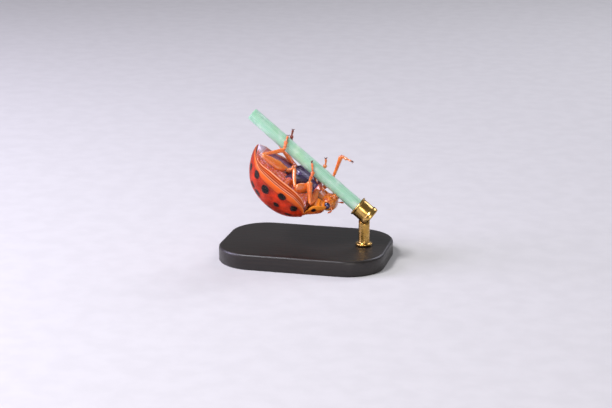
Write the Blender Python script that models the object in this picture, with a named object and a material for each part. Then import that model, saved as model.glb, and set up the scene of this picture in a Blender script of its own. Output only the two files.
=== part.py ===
"""A 28-spotted ladybird clinging under a cut grass stem, on a plain display stand.

The insect is laid out in its own axes and then turned as a whole: x runs from tail to head,
y to its left side, z from belly to back, and the origin lies in the middle of the wing-case rim.
"""
import math

import bmesh
import bpy
import numpy as np

MM = 0.001

# Clearances between neighbouring solids. A 7 mm insect has no room for wider ones.
GAP = 0.04 * MM

# Attitude: the stem slopes down towards the head, the insect hangs back down beneath it.
STEM_SLOPE = math.radians(39.2)
BODY_PITCH = math.radians(4.4)

# Wing cases.
ELYTRA_REAR = -3.45 * MM
ELYTRA_FRONT = 1.95 * MM
ELYTRA_HALF_WIDTH = 2.80 * MM
ELYTRA_HEIGHT = 2.38 * MM
WIDEST_AT = 0.0 * MM
HIGHEST_AT = -0.10 * MM
FRONT_WIDTH_REACH = 2.60 * MM
FRONT_HEIGHT_REACH = 2.55 * MM
RIM_DROP = 0.50 * MM
RIM_DROP_START = -1.90 * MM
RIM_RISE = 0.42 * MM
RIM_RISE_START = 0.70 * MM
SHOULDER_LIFT = 0.22 * MM
SHOULDER_START = 1.60 * MM
DOME_ROUNDNESS = 0.95
TAIL_BLUNTNESS = 0.02 * MM

# Quarter outlines as superellipse exponents (outer, inner), seen from above and from the side.
PLAN_REAR = (2.2, 0.526)
PLAN_FRONT = (2.6, 0.435)
BACK_REAR = (2.1, 0.571)
BACK_FRONT = (2.0, 0.526)
SHIELD_PLAN = (2.2, 0.60)

# Underside.
EPIPLEURON = 0.42 * MM
ABDOMEN_FRONT = -0.42 * MM
ABDOMEN_REAR = -3.30 * MM
THORAX_DEPTH = 0.98 * MM
ABDOMEN_DEPTH = 0.62 * MM
TAIL_DEPTH = 0.16 * MM
TAIL_HALF_WIDTH = 0.30 * MM
BREAST_MIDDLE = 0.6 * MM
BREAST_REACH = 1.4 * MM
BREAST_BOW = 0.06
FLANK = 0.12 * MM
BELLY_ROUNDNESS = 0.9

# Fore body.
PRONOTUM_BACK = ELYTRA_FRONT + GAP
PRONOTUM_FRONT = 3.00 * MM
PRONOTUM_HALF_WIDTH = 1.96 * MM
PRONOTUM_RIM = 0.20 * MM
PRONOTUM_RIM_FALL = 0.52 * MM
PRONOTUM_CORNER_LIFT = 0.36 * MM
PRONOTUM_CORNER_SHARE = 0.16
PRONOTUM_CUT_SHORT = 0.86
PRONOTUM_BACK_HEIGHT = 1.25 * MM
PRONOTUM_SLOPE = 0.80 * MM
PRONOTUM_ROUNDNESS = 0.85
PROTHORAX_FRONT = 2.78 * MM
PROTHORAX_INSET = 0.20 * MM
THROAT_LEVEL = -0.62 * MM
HEAD_CENTRE = (2.86 * MM, 0.0, -0.40 * MM)
HEAD_RADII = (0.62 * MM, 0.92 * MM, 0.60 * MM)
MOUTH_CENTRE = (3.02 * MM, 0.0, -0.88 * MM)
MOUTH_RADII = (0.34 * MM, 0.44 * MM, 0.25 * MM)
EYE_CENTRE = (2.91 * MM, 0.86 * MM, -0.37 * MM)
EYE_RADIUS = 0.22 * MM
SCUTELLUM_LENGTH = 0.50 * MM
SCUTELLUM_HALF_WIDTH = 0.30 * MM
SCUTELLUM_LOW = 0.80 * MM
SCUTELLUM_HIGH = 1.30 * MM
SCUTELLUM_SLOPE = 0.9

# Limbs. Tibia, tarsus and feeler keep the least thickness that holds together as a solid.
# Femur half thicknesses are (wide, thin) pairs: hip, bulge, knee.
FEMUR_SIZES = ((0.26 * MM, 0.25 * MM), (0.34 * MM, 0.26 * MM), (0.27 * MM, 0.26 * MM))
FEMUR_BULGE_AT = 0.45
TIBIA_RADIUS = 0.25 * MM
TARSUS_RADIUS = 0.25 * MM
FEELER_RADIUS = 0.25 * MM
ROUND_END = math.sin(math.radians(45.0))
BEND_REACH = 0.12 * MM

# Perch: a straight grass stem in the insect's mid plane.
STEM_RADIUS = 0.45 * MM
STEM_BELOW_BELLY = 1.749 * MM
STEM_UPPER = -5.0 * MM
STEM_LOWER = 5.5 * MM

# Stand.
BASE_LENGTH = 11.6 * MM
BASE_WIDTH = 8.0 * MM
BASE_THICKNESS = 1.1 * MM
BASE_CORNER = 2.6 * MM
BASE_BEVEL = 0.18 * MM
BEVEL_FROM_ANGLE = math.radians(60)
BODY_HEIGHT = 5.35 * MM
BODY_OFFSET = -0.95 * MM
FERRULE_WALL = 0.26 * MM
FERRULE_LENGTH = 1.30 * MM
FERRULE_FLOOR = 0.30 * MM
ROD_RADIUS = 0.40 * MM

# How far a cutter runs on past the solid it hollows, and where shading turns from smooth to sharp.
OVERRUN = 1.0 * MM
SMOOTH_BELOW = math.radians(40)

# How finely the curved solids are faceted.
RIM_POINTS = 11
ELYTRA_STATIONS = 17
BELLY_POINTS = 11
ABDOMEN_STATIONS = 10
THORAX_STATIONS = 9
PROTHORAX_STATIONS = 6
PRONOTUM_POINTS = 15
PRONOTUM_STATIONS = 8
HEAD_FACETS = (18, 11)
MOUTH_FACETS = (12, 7)
EYE_FACETS = (12, 9)
CORNER_POINTS = 7
TUBE_SIDES = 8
ROUND_SIDES = 24


# ---------------------------------------------------------------- scene, materials, meshes

def clear_scene():
    """Remove whatever objects the scene starts with."""
    for item in list(bpy.data.objects):
        bpy.data.objects.remove(item, do_unlink=True)


def material(name, colour, roughness, metallic=0.0):
    """A Principled material with one colour, roughness and metallic value."""
    made = bpy.data.materials.new(name)
    made.use_nodes = True
    shader = made.node_tree.nodes["Principled BSDF"]
    shader.inputs["Base Color"].default_value = (*colour, 1.0)
    shader.inputs["Roughness"].default_value = roughness
    shader.inputs["Metallic"].default_value = metallic
    made.diffuse_color = (*colour, 1.0)
    return made


def body_from_rings(name, rings, finish, parent):
    """One closed body: neighbouring rings are bridged and both ends are closed.

    A ring of one point is a pole.
    """
    mesh = bpy.data.meshes.new(name)
    work = bmesh.new()
    rows = [[work.verts.new(point) for point in ring] for ring in rings]
    for near, far in zip(rows, rows[1:]):
        count = max(len(near), len(far))
        for k in range(count):
            after = (k + 1) % count
            if len(near) == 1:
                work.faces.new((near[0], far[after], far[k]))
            elif len(far) == 1:
                work.faces.new((near[k], near[after], far[0]))
            else:
                work.faces.new((near[k], near[after], far[after], far[k]))
    for row in (rows[0], rows[-1]):
        if len(row) > 1:
            work.faces.new(row)
    bmesh.ops.recalc_face_normals(work, faces=work.faces)
    work.to_mesh(mesh)
    work.free()
    mesh.shade_smooth()
    mesh.set_sharp_from_angle(angle=SMOOTH_BELOW)
    made = bpy.data.objects.new(name, mesh)
    made.data.materials.append(finish)
    made.parent = parent
    bpy.context.collection.objects.link(made)
    return made


def as_cutter(item):
    """Leave an object out of the model: it only cuts others."""
    item.hide_render = True
    item.display_type = "WIRE"
    return item


def cut(item, cutter):
    """Subtract cutter from item."""
    step = item.modifiers.new(cutter.name, "BOOLEAN")
    step.operation = "DIFFERENCE"
    step.solver = "EXACT"
    step.object = cutter


# ---------------------------------------------------------------- shape functions

def superarc(share, outer, inner):
    """One quarter of a superellipse: 1 at share 0, 0 at share 1."""
    return (1.0 - np.clip(share, 0.0, 1.0) ** outer) ** inner


def half_width(x):
    """Half width of the wing cases seen from above."""
    rear = superarc((WIDEST_AT - x) / (WIDEST_AT - ELYTRA_REAR), *PLAN_REAR)
    front = superarc((x - WIDEST_AT) / FRONT_WIDTH_REACH, *PLAN_FRONT)
    return ELYTRA_HALF_WIDTH * np.where(x < WIDEST_AT, rear, front)


def tail_drop(x):
    """How far the tail end of the wing cases bends down."""
    share = np.clip((RIM_DROP_START - x) / (RIM_DROP_START - ELYTRA_REAR), 0.0, 1.0)
    return RIM_DROP * share ** 2


def rim_height(x):
    """Height of the wing-case rim: level amidships, down at the tail, up at the shoulder."""
    rise = np.clip((x - RIM_RISE_START) / (ELYTRA_FRONT - RIM_RISE_START), 0.0, 1.0)
    corner = np.clip((x - SHOULDER_START) / (ELYTRA_FRONT - SHOULDER_START), 0.0, 1.0)
    return RIM_RISE * rise ** 1.5 + SHOULDER_LIFT * corner ** 2 - tail_drop(x)


def back_height(x):
    """Height of the back along the middle line."""
    rear = superarc((HIGHEST_AT - x) / (HIGHEST_AT - ELYTRA_REAR), *BACK_REAR)
    front = superarc((x - HIGHEST_AT) / FRONT_HEIGHT_REACH, *BACK_FRONT)
    return ELYTRA_HEIGHT * np.where(x < HIGHEST_AT, rear, front) - tail_drop(x)


def pronotum_share(x):
    """0 at the back edge of the pronotum, 1 at its front edge."""
    return (x - PRONOTUM_BACK) / (PRONOTUM_FRONT - PRONOTUM_BACK)


def pronotum_width(x):
    """Half width of the pronotum: a superellipse cut short at the front."""
    return PRONOTUM_HALF_WIDTH * superarc(pronotum_share(x) * PRONOTUM_CUT_SHORT, *SHIELD_PLAN)


def pronotum_rim(x):
    """Height of the side edge: steep beside the wing cases, level towards the head."""
    corner = np.clip(1.0 - pronotum_share(x) / PRONOTUM_CORNER_SHARE, 0.0, 1.0)
    fall = PRONOTUM_RIM_FALL * (1.0 - (1.0 - pronotum_share(x)) ** 3)
    return PRONOTUM_RIM + PRONOTUM_CORNER_LIFT * corner ** 2 - fall


def pronotum_back(x):
    """Height of the pronotum along the middle line."""
    return PRONOTUM_BACK_HEIGHT - PRONOTUM_SLOPE * pronotum_share(x)


def belly_depth(x):
    """How far the underside hangs below the rim, along the middle line."""
    thorax = THORAX_DEPTH * (1.0 - BREAST_BOW * ((x - BREAST_MIDDLE) / BREAST_REACH) ** 2)
    share = np.clip((ABDOMEN_FRONT - x) / (ABDOMEN_FRONT - ABDOMEN_REAR), 0.0, 1.0)
    abdomen = ABDOMEN_DEPTH + (TAIL_DEPTH - ABDOMEN_DEPTH) * share ** 1.5
    return np.where(x >= ABDOMEN_FRONT, thorax, abdomen)


def belly_width(x):
    """Half width of the underside, inside the turned-in edge of the wing cases."""
    return np.maximum(half_width(x) - EPIPLEURON, TAIL_HALF_WIDTH)


# ---------------------------------------------------------------- body parts

def stations(first, last, count):
    """Places along the body, closer together near both ends."""
    angle = np.linspace(0.0, math.pi, count)
    return first + (last - first) * (1.0 - np.cos(angle)) / 2.0


def wing_case(side, parent, finish):
    """One half of the domed back, solid down to the level of its rim."""
    sign = 1 if side == "left" else -1
    rings = []
    for x in stations(ELYTRA_REAR + TAIL_BLUNTNESS, ELYTRA_FRONT, ELYTRA_STATIONS):
        width = float(half_width(x))
        low = float(rim_height(x))
        high = float(back_height(x))
        turn = np.linspace(0.0, math.pi / 2.0, RIM_POINTS)
        y = GAP / 2.0 + (width - GAP / 2.0) * np.cos(turn) ** DOME_ROUNDNESS
        z = low + (high - low) * np.sin(turn) ** DOME_ROUNDNESS
        ring = [(x, sign * b, c) for b, c in zip(y, z)]
        ring.append((x, sign * GAP / 2.0, low))
        rings.append(ring)
    return body_from_rings("elytron_" + side, rings, finish, parent)


def under_block(name, first, last, width_at, top_at, depth_at, parent, finish, count):
    """A block of the underside: flat on top, rounded below, with a short upright flank."""
    rings = []
    for x in np.linspace(first, last, count):
        width = float(width_at(x))
        top = float(top_at(x)) - GAP
        turn = np.linspace(0.0, math.pi, BELLY_POINTS)
        y = width * np.cos(turn)
        z = top - FLANK - (float(depth_at(x)) - FLANK) * np.sin(turn) ** BELLY_ROUNDNESS
        ring = [(x, b, c) for b, c in zip(y, z)]
        ring.append((x, -width, top))
        ring.append((x, 0.0, top))
        ring.append((x, width, top))
        rings.append(ring)
    return body_from_rings(name, rings, finish, parent)


def pronotum(parent, finish):
    """The neck shield, sloping down to the head."""
    rings = []
    for x in stations(PRONOTUM_BACK, PRONOTUM_FRONT, PRONOTUM_STATIONS):
        width = float(pronotum_width(x))
        low = float(pronotum_rim(x))
        high = float(pronotum_back(x))
        turn = np.linspace(0.0, math.pi, PRONOTUM_POINTS)
        y = width * np.cos(turn)
        z = low + (high - low) * np.sin(turn) ** PRONOTUM_ROUNDNESS
        ring = [(x, b, c) for b, c in zip(y, z)]
        ring.append((x, 0.0, low))
        rings.append(ring)
    return body_from_rings("pronotum", rings, finish, parent)


def ellipsoid(name, centre, radii, parent, finish, facets, grow=0.0):
    """An egg with its poles on the x axis; facets holds (sides around, rings along)."""
    around, along = facets
    rings = []
    for k, turn in enumerate(np.linspace(0.0, math.pi, along)):
        if k in (0, along - 1):
            rings.append([(centre[0] - (radii[0] + grow) * math.cos(turn), centre[1], centre[2])])
            continue
        angle = np.linspace(0.0, 2.0 * math.pi, around, endpoint=False)
        x = centre[0] - (radii[0] + grow) * math.cos(turn)
        y = centre[1] + (radii[1] + grow) * math.sin(turn) * np.cos(angle)
        z = centre[2] + (radii[2] + grow) * math.sin(turn) * np.sin(angle)
        rings.append([(x, b, c) for b, c in zip(y, z)])
    return body_from_rings(name, rings, finish, parent)


def wedge(name, front, half, tip, levels, parent, finish):
    """A three-cornered block; levels holds (height at the front, height at the tip) pairs."""
    rings = [[(front, -half, low), (front, half, low), (tip, 0.0, high)] for low, high in levels]
    return body_from_rings(name, rings, finish, parent)


def scutellum(parent, finish):
    """The small three-cornered plate behind the pronotum; returns the cutter for its notch.

    The cutter's sides run parallel to the plate's, a gap outside them, and its front end
    stands a whole plate length ahead of the wing cases.
    """
    rise = (SCUTELLUM_HIGH - SCUTELLUM_LOW) * SCUTELLUM_SLOPE
    tip = ELYTRA_FRONT - SCUTELLUM_LENGTH
    wedge("scutellum", ELYTRA_FRONT, SCUTELLUM_HALF_WIDTH, tip,
          ((SCUTELLUM_LOW, SCUTELLUM_LOW), (SCUTELLUM_HIGH, SCUTELLUM_HIGH + rise)),
          parent, finish)
    front = ELYTRA_FRONT + SCUTELLUM_LENGTH
    cut_tip = tip - 2.0 * GAP
    half = SCUTELLUM_HALF_WIDTH * (front - cut_tip) / SCUTELLUM_LENGTH
    return as_cutter(wedge("cut_scutellum", front, half, cut_tip,
                           ((SCUTELLUM_LOW - GAP,) * 2, (ELYTRA_HEIGHT + GAP,) * 2),
                           parent, finish))


# ---------------------------------------------------------------- limbs

def tube(name, path, radii, parent, finish, wide=(0.0, 0.0, 1.0), grow=0.0, sides=TUBE_SIDES):
    """A limb piece along a path, with round ends.

    radii holds (wide, thin) half thicknesses for each path point; wide is the direction that
    the wider half thickness faces.
    """
    points = np.array(path, dtype=float)
    steps = np.linalg.norm(np.diff(points, axis=0), axis=1)
    reach = np.concatenate([[0.0], np.cumsum(steps)])
    sizes = np.array(radii, dtype=float) + grow
    first = sizes[0].min()
    last = sizes[-1].min()
    body = np.linspace(0.0, reach[-1], 2 + 2 * (len(points) - 1))
    spine = [(-first, 0.0), (-ROUND_END * first, ROUND_END)]
    spine += [(s, 1.0) for s in body]
    spine += [(reach[-1] + ROUND_END * last, ROUND_END), (reach[-1] + last, 0.0)]
    rings = []
    for place, share in spine:
        held = min(max(place, 0.0), reach[-1])
        centre = np.array([np.interp(held, reach, points[:, k]) for k in range(3)])
        ahead = np.array([np.interp(min(held + BEND_REACH, reach[-1]), reach, points[:, k])
                          for k in range(3)])
        behind = np.array([np.interp(max(held - BEND_REACH, 0.0), reach, points[:, k])
                           for k in range(3)])
        along = (ahead - behind) / np.linalg.norm(ahead - behind)
        centre = centre + along * (place - held)
        if share == 0.0:
            rings.append([tuple(centre)])
            continue
        across = np.cross(along, np.array(wide))
        across /= np.linalg.norm(across)
        upright = np.cross(across, along)
        broad, thin = (np.interp(held, reach, sizes[:, k]) * share for k in range(2))
        ring = []
        for k in range(sides):
            angle = 2.0 * math.pi * k / sides
            ring.append(tuple(centre + upright * broad * math.cos(angle)
                              + across * thin * math.sin(angle)))
        rings.append(ring)
    return body_from_rings(name, rings, finish, parent)


def beside_stem(x, angle, distance):
    """A point at a distance from the stem's axis; angle 0 is the left, 90 the far side."""
    turn = math.radians(angle)
    level = -STEM_BELOW_BELLY + math.tan(BODY_PITCH) * x * MM
    return (x * MM, distance * MM * math.cos(turn), level - distance * MM * math.sin(turn))


def at(x, y, z):
    """A point of the insect in millimetres along its own axes."""
    return (x * MM, y * MM, z * MM)


# For each leg: hip, knee, ankle, then the points of the foot. Left is +y.
LEGS = {
    "left_front": dict(
        hip=at(1.76, 0.62, -0.74), knee=at(1.90, 1.80, -0.14), ankle=at(0.98, 1.28, -1.22),
        foot=[beside_stem(0.76, -18.0, 0.86), beside_stem(0.55, 8.0, 0.74),
              beside_stem(0.34, 34.0, 0.72)],
        wide=(0.9, 0.1, 0.3)),
    "left_middle": dict(
        hip=at(1.28, 0.66, -0.60), knee=at(0.48, 1.98, -0.46), ankle=at(-0.38, 1.12, -1.17),
        foot=[at(-0.58, 1.34, -1.04), at(-0.74, 1.58, -0.98)],
        wide=(0.2, 0.5, 0.8)),
    "left_hind": dict(
        hip=at(-0.55, 0.72, -0.70), knee=at(-2.62, 1.86, -0.88), ankle=at(-1.72, 0.76, -1.62),
        foot=[beside_stem(-1.84, 6.0, 0.74), beside_stem(-1.98, 38.0, 0.72),
              beside_stem(-2.08, 68.0, 0.72)],
        wide=(0.0, 0.7, 0.7)),
    "right_front": dict(
        hip=at(1.98, -0.50, -0.80), knee=at(1.99, -1.58, -1.56), ankle=at(1.62, -1.48, -3.02),
        foot=[at(1.98, -1.44, -3.10), at(2.36, -1.38, -3.20)],
        wide=(1.0, 0.0, 0.0)),
    "right_middle": dict(
        hip=at(1.34, -0.66, -0.66), knee=at(0.74, -2.02, -0.74), ankle=at(1.12, -0.94, -1.68),
        foot=[at(1.18, -0.66, -2.02), at(1.02, -0.42, -2.36), at(0.90, -0.32, -2.60)],
        wide=(0.0, -0.7, 0.7)),
    "right_hind": dict(
        hip=at(-0.52, -0.74, -0.74), knee=at(-2.58, -1.96, -0.95), ankle=at(-1.80, -0.94, -1.96),
        foot=[at(-1.84, -0.66, -2.24), at(-1.98, -0.40, -2.60), at(-2.06, -0.28, -2.84)],
        wide=(0.0, -0.7, 0.7)),
}


def leg(name, plan, parent, finish, stem_cutter):
    """Femur, tibia and tarsus of one leg; each piece is hollowed to clear the one before it.

    Returns the cutters of femur and tibia, which make room for them in the body.
    """
    hip, knee, ankle = (np.array(plan[key]) for key in ("hip", "knee", "ankle"))
    thigh = [hip, hip + (knee - hip) * FEMUR_BULGE_AT, knee]
    shin = [knee, (knee + ankle) / 2.0, ankle]
    even = [(TIBIA_RADIUS, TIBIA_RADIUS)] * 3
    foot = [ankle] + [np.array(point) for point in plan["foot"]]
    slim = [(TARSUS_RADIUS, TARSUS_RADIUS)] * len(foot)
    wide = plan["wide"]
    tube("leg_" + name + "_femur", thigh, FEMUR_SIZES, parent, finish, wide)
    room = as_cutter(tube("cut_" + name + "_femur", thigh, FEMUR_SIZES, parent, finish, wide,
                          GAP))
    tibia = tube("leg_" + name + "_tibia", shin, even, parent, finish, wide)
    cut(tibia, room)
    shin_room = as_cutter(tube("cut_" + name + "_tibia", shin, even, parent, finish, wide, GAP))
    tarsus = tube("leg_" + name + "_tarsus", foot, slim, parent, finish, wide)
    cut(tarsus, shin_room)
    cut(tarsus, stem_cutter)
    return room, shin_room


def feelers(parent, finish, head_room):
    """Both antennae; each is hollowed to clear the head."""
    paths = {
        "left": [at(3.16, 0.62, -0.42), at(3.36, 0.90, -0.32), at(3.24, 1.22, -0.16)],
        "right": [at(3.16, -0.62, -0.42), at(3.42, -0.84, -0.50), at(3.62, -1.00, -0.58)],
    }
    for side, path in paths.items():
        made = tube("antenna_" + side, path, [(FEELER_RADIUS, FEELER_RADIUS)] * 3, parent, finish)
        cut(made, head_room)


# ---------------------------------------------------------------- perch and stand

def cylinder(name, first, last, radius, parent, finish, sides=ROUND_SIDES):
    """A round bar between two points of the x-z plane."""
    start = np.array(first)
    along = np.array(last) - start
    along = along / np.linalg.norm(along)
    across = np.array([0.0, 1.0, 0.0])
    upright = np.cross(along, across)
    rings = []
    for end in (first, last):
        ring = []
        for k in range(sides):
            angle = 2.0 * math.pi * k / sides
            ring.append(tuple(np.array(end) + radius * (across * math.cos(angle)
                                                        + upright * math.sin(angle))))
        rings.append(ring)
    return body_from_rings(name, rings, finish, parent)


def stem_point(reach):
    """A point on the stem's axis, in the insect's own axes."""
    return (reach * math.cos(BODY_PITCH), 0.0,
            -STEM_BELOW_BELLY + reach * math.sin(BODY_PITCH))


def base_plate(finish):
    """A flat plate with rounded corners and eased edges, standing on z = 0."""
    outline = []
    for k, (sx, sy) in enumerate(((1, 1), (-1, 1), (-1, -1), (1, -1))):
        cx = sx * (BASE_LENGTH / 2.0 - BASE_CORNER)
        cy = sy * (BASE_WIDTH / 2.0 - BASE_CORNER)
        for step in range(CORNER_POINTS):
            angle = math.pi / 2.0 * (k + step / (CORNER_POINTS - 1))
            outline.append((cx + BASE_CORNER * math.cos(angle),
                            cy + BASE_CORNER * math.sin(angle)))
    rings = [[(x, y, z) for x, y in outline] for z in (0.0, BASE_THICKNESS)]
    made = body_from_rings("stand_base", rings, finish, None)
    ease = made.modifiers.new("eased_edges", "BEVEL")
    ease.width = BASE_BEVEL
    ease.segments = 2
    ease.limit_method = "ANGLE"
    ease.angle_limit = BEVEL_FROM_ANGLE
    return made


def stand(parent, brass, wood):
    """Base plate, upright rod and the ferrule that holds the stem's cut end."""
    base_plate(wood)
    outer = STEM_RADIUS + FERRULE_WALL
    closed_end = STEM_LOWER + GAP + FERRULE_FLOOR
    ferrule = cylinder("stand_ferrule", stem_point(closed_end - FERRULE_LENGTH),
                       stem_point(closed_end), outer, parent, brass)
    bore = as_cutter(cylinder("cut_bore", stem_point(STEM_LOWER - FERRULE_LENGTH - OVERRUN),
                              stem_point(STEM_LOWER + GAP), STEM_RADIUS + GAP, parent, brass))
    cut(ferrule, bore)
    middle = stem_point(closed_end - FERRULE_LENGTH / 2.0)
    slope = STEM_SLOPE - BODY_PITCH
    x = BODY_OFFSET + middle[0] * math.cos(slope) - middle[2] * math.sin(slope)
    z = BODY_HEIGHT - middle[0] * math.sin(slope) - middle[2] * math.cos(slope)
    rod = cylinder("stand_rod", (x, 0.0, BASE_THICKNESS + GAP), (x, 0.0, z), ROD_RADIUS,
                   None, brass)
    room = as_cutter(cylinder("cut_ferrule",
                              stem_point(closed_end - FERRULE_LENGTH - OVERRUN),
                              stem_point(closed_end + OVERRUN), outer + GAP, parent, brass))
    cut(rod, room)


# ---------------------------------------------------------------- assembly

def build():
    """Make every solid, then cut the rooms that keep neighbours apart."""
    clear_scene()
    shell = material("wing_case_shell", (0.62, 0.09, 0.02), 0.32)
    plate = material("body_plate", (0.75, 0.20, 0.03), 0.38)
    dark = material("dark_plate", (0.03, 0.02, 0.035), 0.30)
    limb = material("limb", (0.80, 0.24, 0.04), 0.36)
    eye = material("eye_black", (0.01, 0.01, 0.014), 0.12)
    green = material("grass_stem", (0.27, 0.58, 0.36), 0.50)
    brass = material("brass", (0.72, 0.52, 0.22), 0.28, 1.0)
    wood = material("ebonised_wood", (0.03, 0.025, 0.022), 0.45)

    insect = bpy.data.objects.new("insect_axes", None)
    insect.location = (BODY_OFFSET, 0.0, BODY_HEIGHT)
    insect.rotation_euler = (math.pi, STEM_SLOPE - BODY_PITCH, 0.0)
    bpy.context.collection.objects.link(insect)

    notch = scutellum(insect, plate)
    for side in ("left", "right"):
        cut(wing_case(side, insect, shell), notch)

    cylinder("perch_stem", stem_point(STEM_UPPER), stem_point(STEM_LOWER), STEM_RADIUS,
             insect, green)
    stem_room = as_cutter(cylinder("cut_stem", stem_point(STEM_UPPER - OVERRUN),
                                   stem_point(STEM_LOWER + OVERRUN), STEM_RADIUS + GAP,
                                   insect, green))
    rooms = {name: leg(name, plan, insect, limb, stem_room) for name, plan in LEGS.items()}

    abdomen = under_block("abdomen", ABDOMEN_REAR, ABDOMEN_FRONT - GAP, belly_width,
                          rim_height, belly_depth, insect, dark, ABDOMEN_STATIONS)
    thorax = under_block("thorax", ABDOMEN_FRONT, ELYTRA_FRONT, belly_width,
                         rim_height, belly_depth, insect, dark, THORAX_STATIONS)
    prothorax = under_block("prothorax", PRONOTUM_BACK, PROTHORAX_FRONT,
                            lambda x: pronotum_width(x) - PROTHORAX_INSET, pronotum_rim,
                            lambda x: pronotum_rim(x) - THROAT_LEVEL, insect, plate,
                            PROTHORAX_STATIONS)
    shield = pronotum(insect, plate)

    head = ellipsoid("head", HEAD_CENTRE, HEAD_RADII, insect, plate, HEAD_FACETS)
    head_room = as_cutter(ellipsoid("cut_head", HEAD_CENTRE, HEAD_RADII, insect, plate,
                                    HEAD_FACETS, GAP))
    mouth = ellipsoid("mouthparts", MOUTH_CENTRE, MOUTH_RADII, insect, plate, MOUTH_FACETS)
    for piece in (mouth, shield, prothorax):
        cut(piece, head_room)
    mouth_room = as_cutter(ellipsoid("cut_mouth", MOUTH_CENTRE, MOUTH_RADII, insect, plate,
                                     MOUTH_FACETS, GAP))
    cut(prothorax, mouth_room)
    feelers(insect, limb, head_room)
    for side, sign in (("left", 1), ("right", -1)):
        centre = (EYE_CENTRE[0], sign * EYE_CENTRE[1], EYE_CENTRE[2])
        ball = (EYE_RADIUS, EYE_RADIUS, EYE_RADIUS)
        ellipsoid("eye_" + side, centre, ball, insect, eye, EYE_FACETS)
        socket = as_cutter(ellipsoid("cut_eye_" + side, centre, ball, insect, eye,
                                     EYE_FACETS, GAP))
        cut(head, socket)
        for piece in (shield, prothorax):
            cut(piece, socket)

    for name, (thigh_room, shin_room) in rooms.items():
        beside = (prothorax, shield) if name.endswith("front") else (abdomen,)
        for piece in (thorax, *beside):
            cut(piece, thigh_room)
            cut(piece, shin_room)
    stand(insect, brass, wood)


build()
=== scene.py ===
"""Looks of a 28-spotted ladybird under a cut grass stem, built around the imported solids.

The insect is worked out in millimetres along its own axes: x to the head, y to its left side,
z to its back. InsectAxes places every finished piece in the row frame.
"""

import logging
import math
from dataclasses import dataclass
from enum import Enum

import bpy
import numpy as np
from mathutils import Matrix, Vector


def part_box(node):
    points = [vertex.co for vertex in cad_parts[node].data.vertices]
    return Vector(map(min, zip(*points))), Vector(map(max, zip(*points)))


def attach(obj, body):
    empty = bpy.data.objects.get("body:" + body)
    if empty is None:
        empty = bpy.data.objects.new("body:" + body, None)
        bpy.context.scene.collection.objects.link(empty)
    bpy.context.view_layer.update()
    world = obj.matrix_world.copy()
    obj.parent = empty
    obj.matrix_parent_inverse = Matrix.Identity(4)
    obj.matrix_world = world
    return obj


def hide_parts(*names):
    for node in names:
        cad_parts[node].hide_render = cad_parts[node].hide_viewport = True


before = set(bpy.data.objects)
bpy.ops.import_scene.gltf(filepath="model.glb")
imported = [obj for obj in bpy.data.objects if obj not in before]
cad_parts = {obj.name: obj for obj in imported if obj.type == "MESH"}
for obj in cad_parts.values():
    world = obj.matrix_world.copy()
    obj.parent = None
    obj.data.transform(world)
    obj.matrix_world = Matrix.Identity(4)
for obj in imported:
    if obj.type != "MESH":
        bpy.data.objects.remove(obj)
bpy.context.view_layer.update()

MM = 0.001             # metres in a millimetre
SEED = 28              # starts the random numbers that place the hairs
GAP = 0.04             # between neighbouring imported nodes, in millimetres
CURVE_SAMPLES = 160    # along a limb's smooth curve
SPIKE_POINTS = 7       # in one hair
FLATNESS = 0.48        # a thigh's thickness over its width
ACROSS = np.array([0.0, 1.0, 0.0])
Array = np.ndarray
Point = tuple[float, float, float]
Tube = tuple[Array, Array, Array]
Spot = tuple[float, float, float, float]
Steps = tuple[tuple[float, float], ...]
Socket = bpy.types.NodeSocket
Material = bpy.types.Material
log = logging.getLogger("ladybird")


class Side(Enum):
    """The insect's own left and right, as the sign of y."""

    LEFT = 1
    RIGHT = -1

    @property
    def word(self) -> str:
        """The side's name in lower case."""
        return self.name.lower()


# ------------------------------------------------------------------ curves and fields

def superarc(share: Array, outer: float, inner: float) -> Array:
    """One quarter of a superellipse: (1 - share^outer)^inner, so 1 at share 0 and 0 at 1."""
    return (1.0 - np.clip(share, 0.0, 1.0) ** outer) ** inner


def two_quarters(x: Array, middle: float, rear: float, reach: float,
                 powers: tuple[float, float, float, float]) -> Array:
    """Two quarters of superellipses that meet at a middle, where they are 1.

    Args:
        x: places along the body.
        middle: where the quarters meet.
        rear: where the rear quarter ends.
        reach: how far the front quarter goes past the middle.
        powers: outer and inner power of the rear quarter, then of the front one.

    Returns:
        A share of the full size at each place.
    """
    behind = superarc((middle - x) / (middle - rear), *powers[:2])
    ahead = superarc((x - middle) / reach, *powers[2:])
    return np.where(x < middle, behind, ahead)


def smooth(low: float, high: float, value: Array) -> Array:
    """Smoothstep: 0 below low, 1 above high, 3s^2 - 2s^3 between."""
    share = np.clip((value - low) / (high - low), 0.0, 1.0)
    return share * share * (3.0 - 2.0 * share)


def hump(value: Array, centre: float | Array, width: float) -> Array:
    """A bell curve, exp(-((value - centre) / width)^2)."""
    return np.exp(-(((value - centre) / width) ** 2))


def cosine_steps(first: float, last: float, count: int) -> Array:
    """Steps from first to last, closer together near both ends."""
    return first + (last - first) * (1.0 - np.cos(np.linspace(0.0, math.pi, count))) / 2.0


def full_turn(count: int) -> Array:
    """Even angles round a circle in one row, the last a step short of the first."""
    return np.linspace(0.0, 2.0 * math.pi, count, endpoint=False)[None]


def shares(rows: int) -> Array:
    """Even shares from 0 to 1, in one column."""
    return np.linspace(0.0, 1.0, rows)[:, None]


def bent(value: Array, power: float) -> Array:
    """A value to a power, with its sign kept."""
    return np.sign(value) * np.abs(value) ** power


def grid_of(x: Array, y: Array, z: Array) -> Array:
    """Points from x, y and z, which are stretched to one grid."""
    return np.stack(np.broadcast_arrays(x, y, z), axis=-1)


def side_by_side(rows: int, *parts: Array) -> Array:
    """Strips of a grid joined along its rows, each stretched to that many rows."""
    return np.hstack([np.broadcast_to(part, (rows, *part.shape[1:])) for part in parts])


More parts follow.
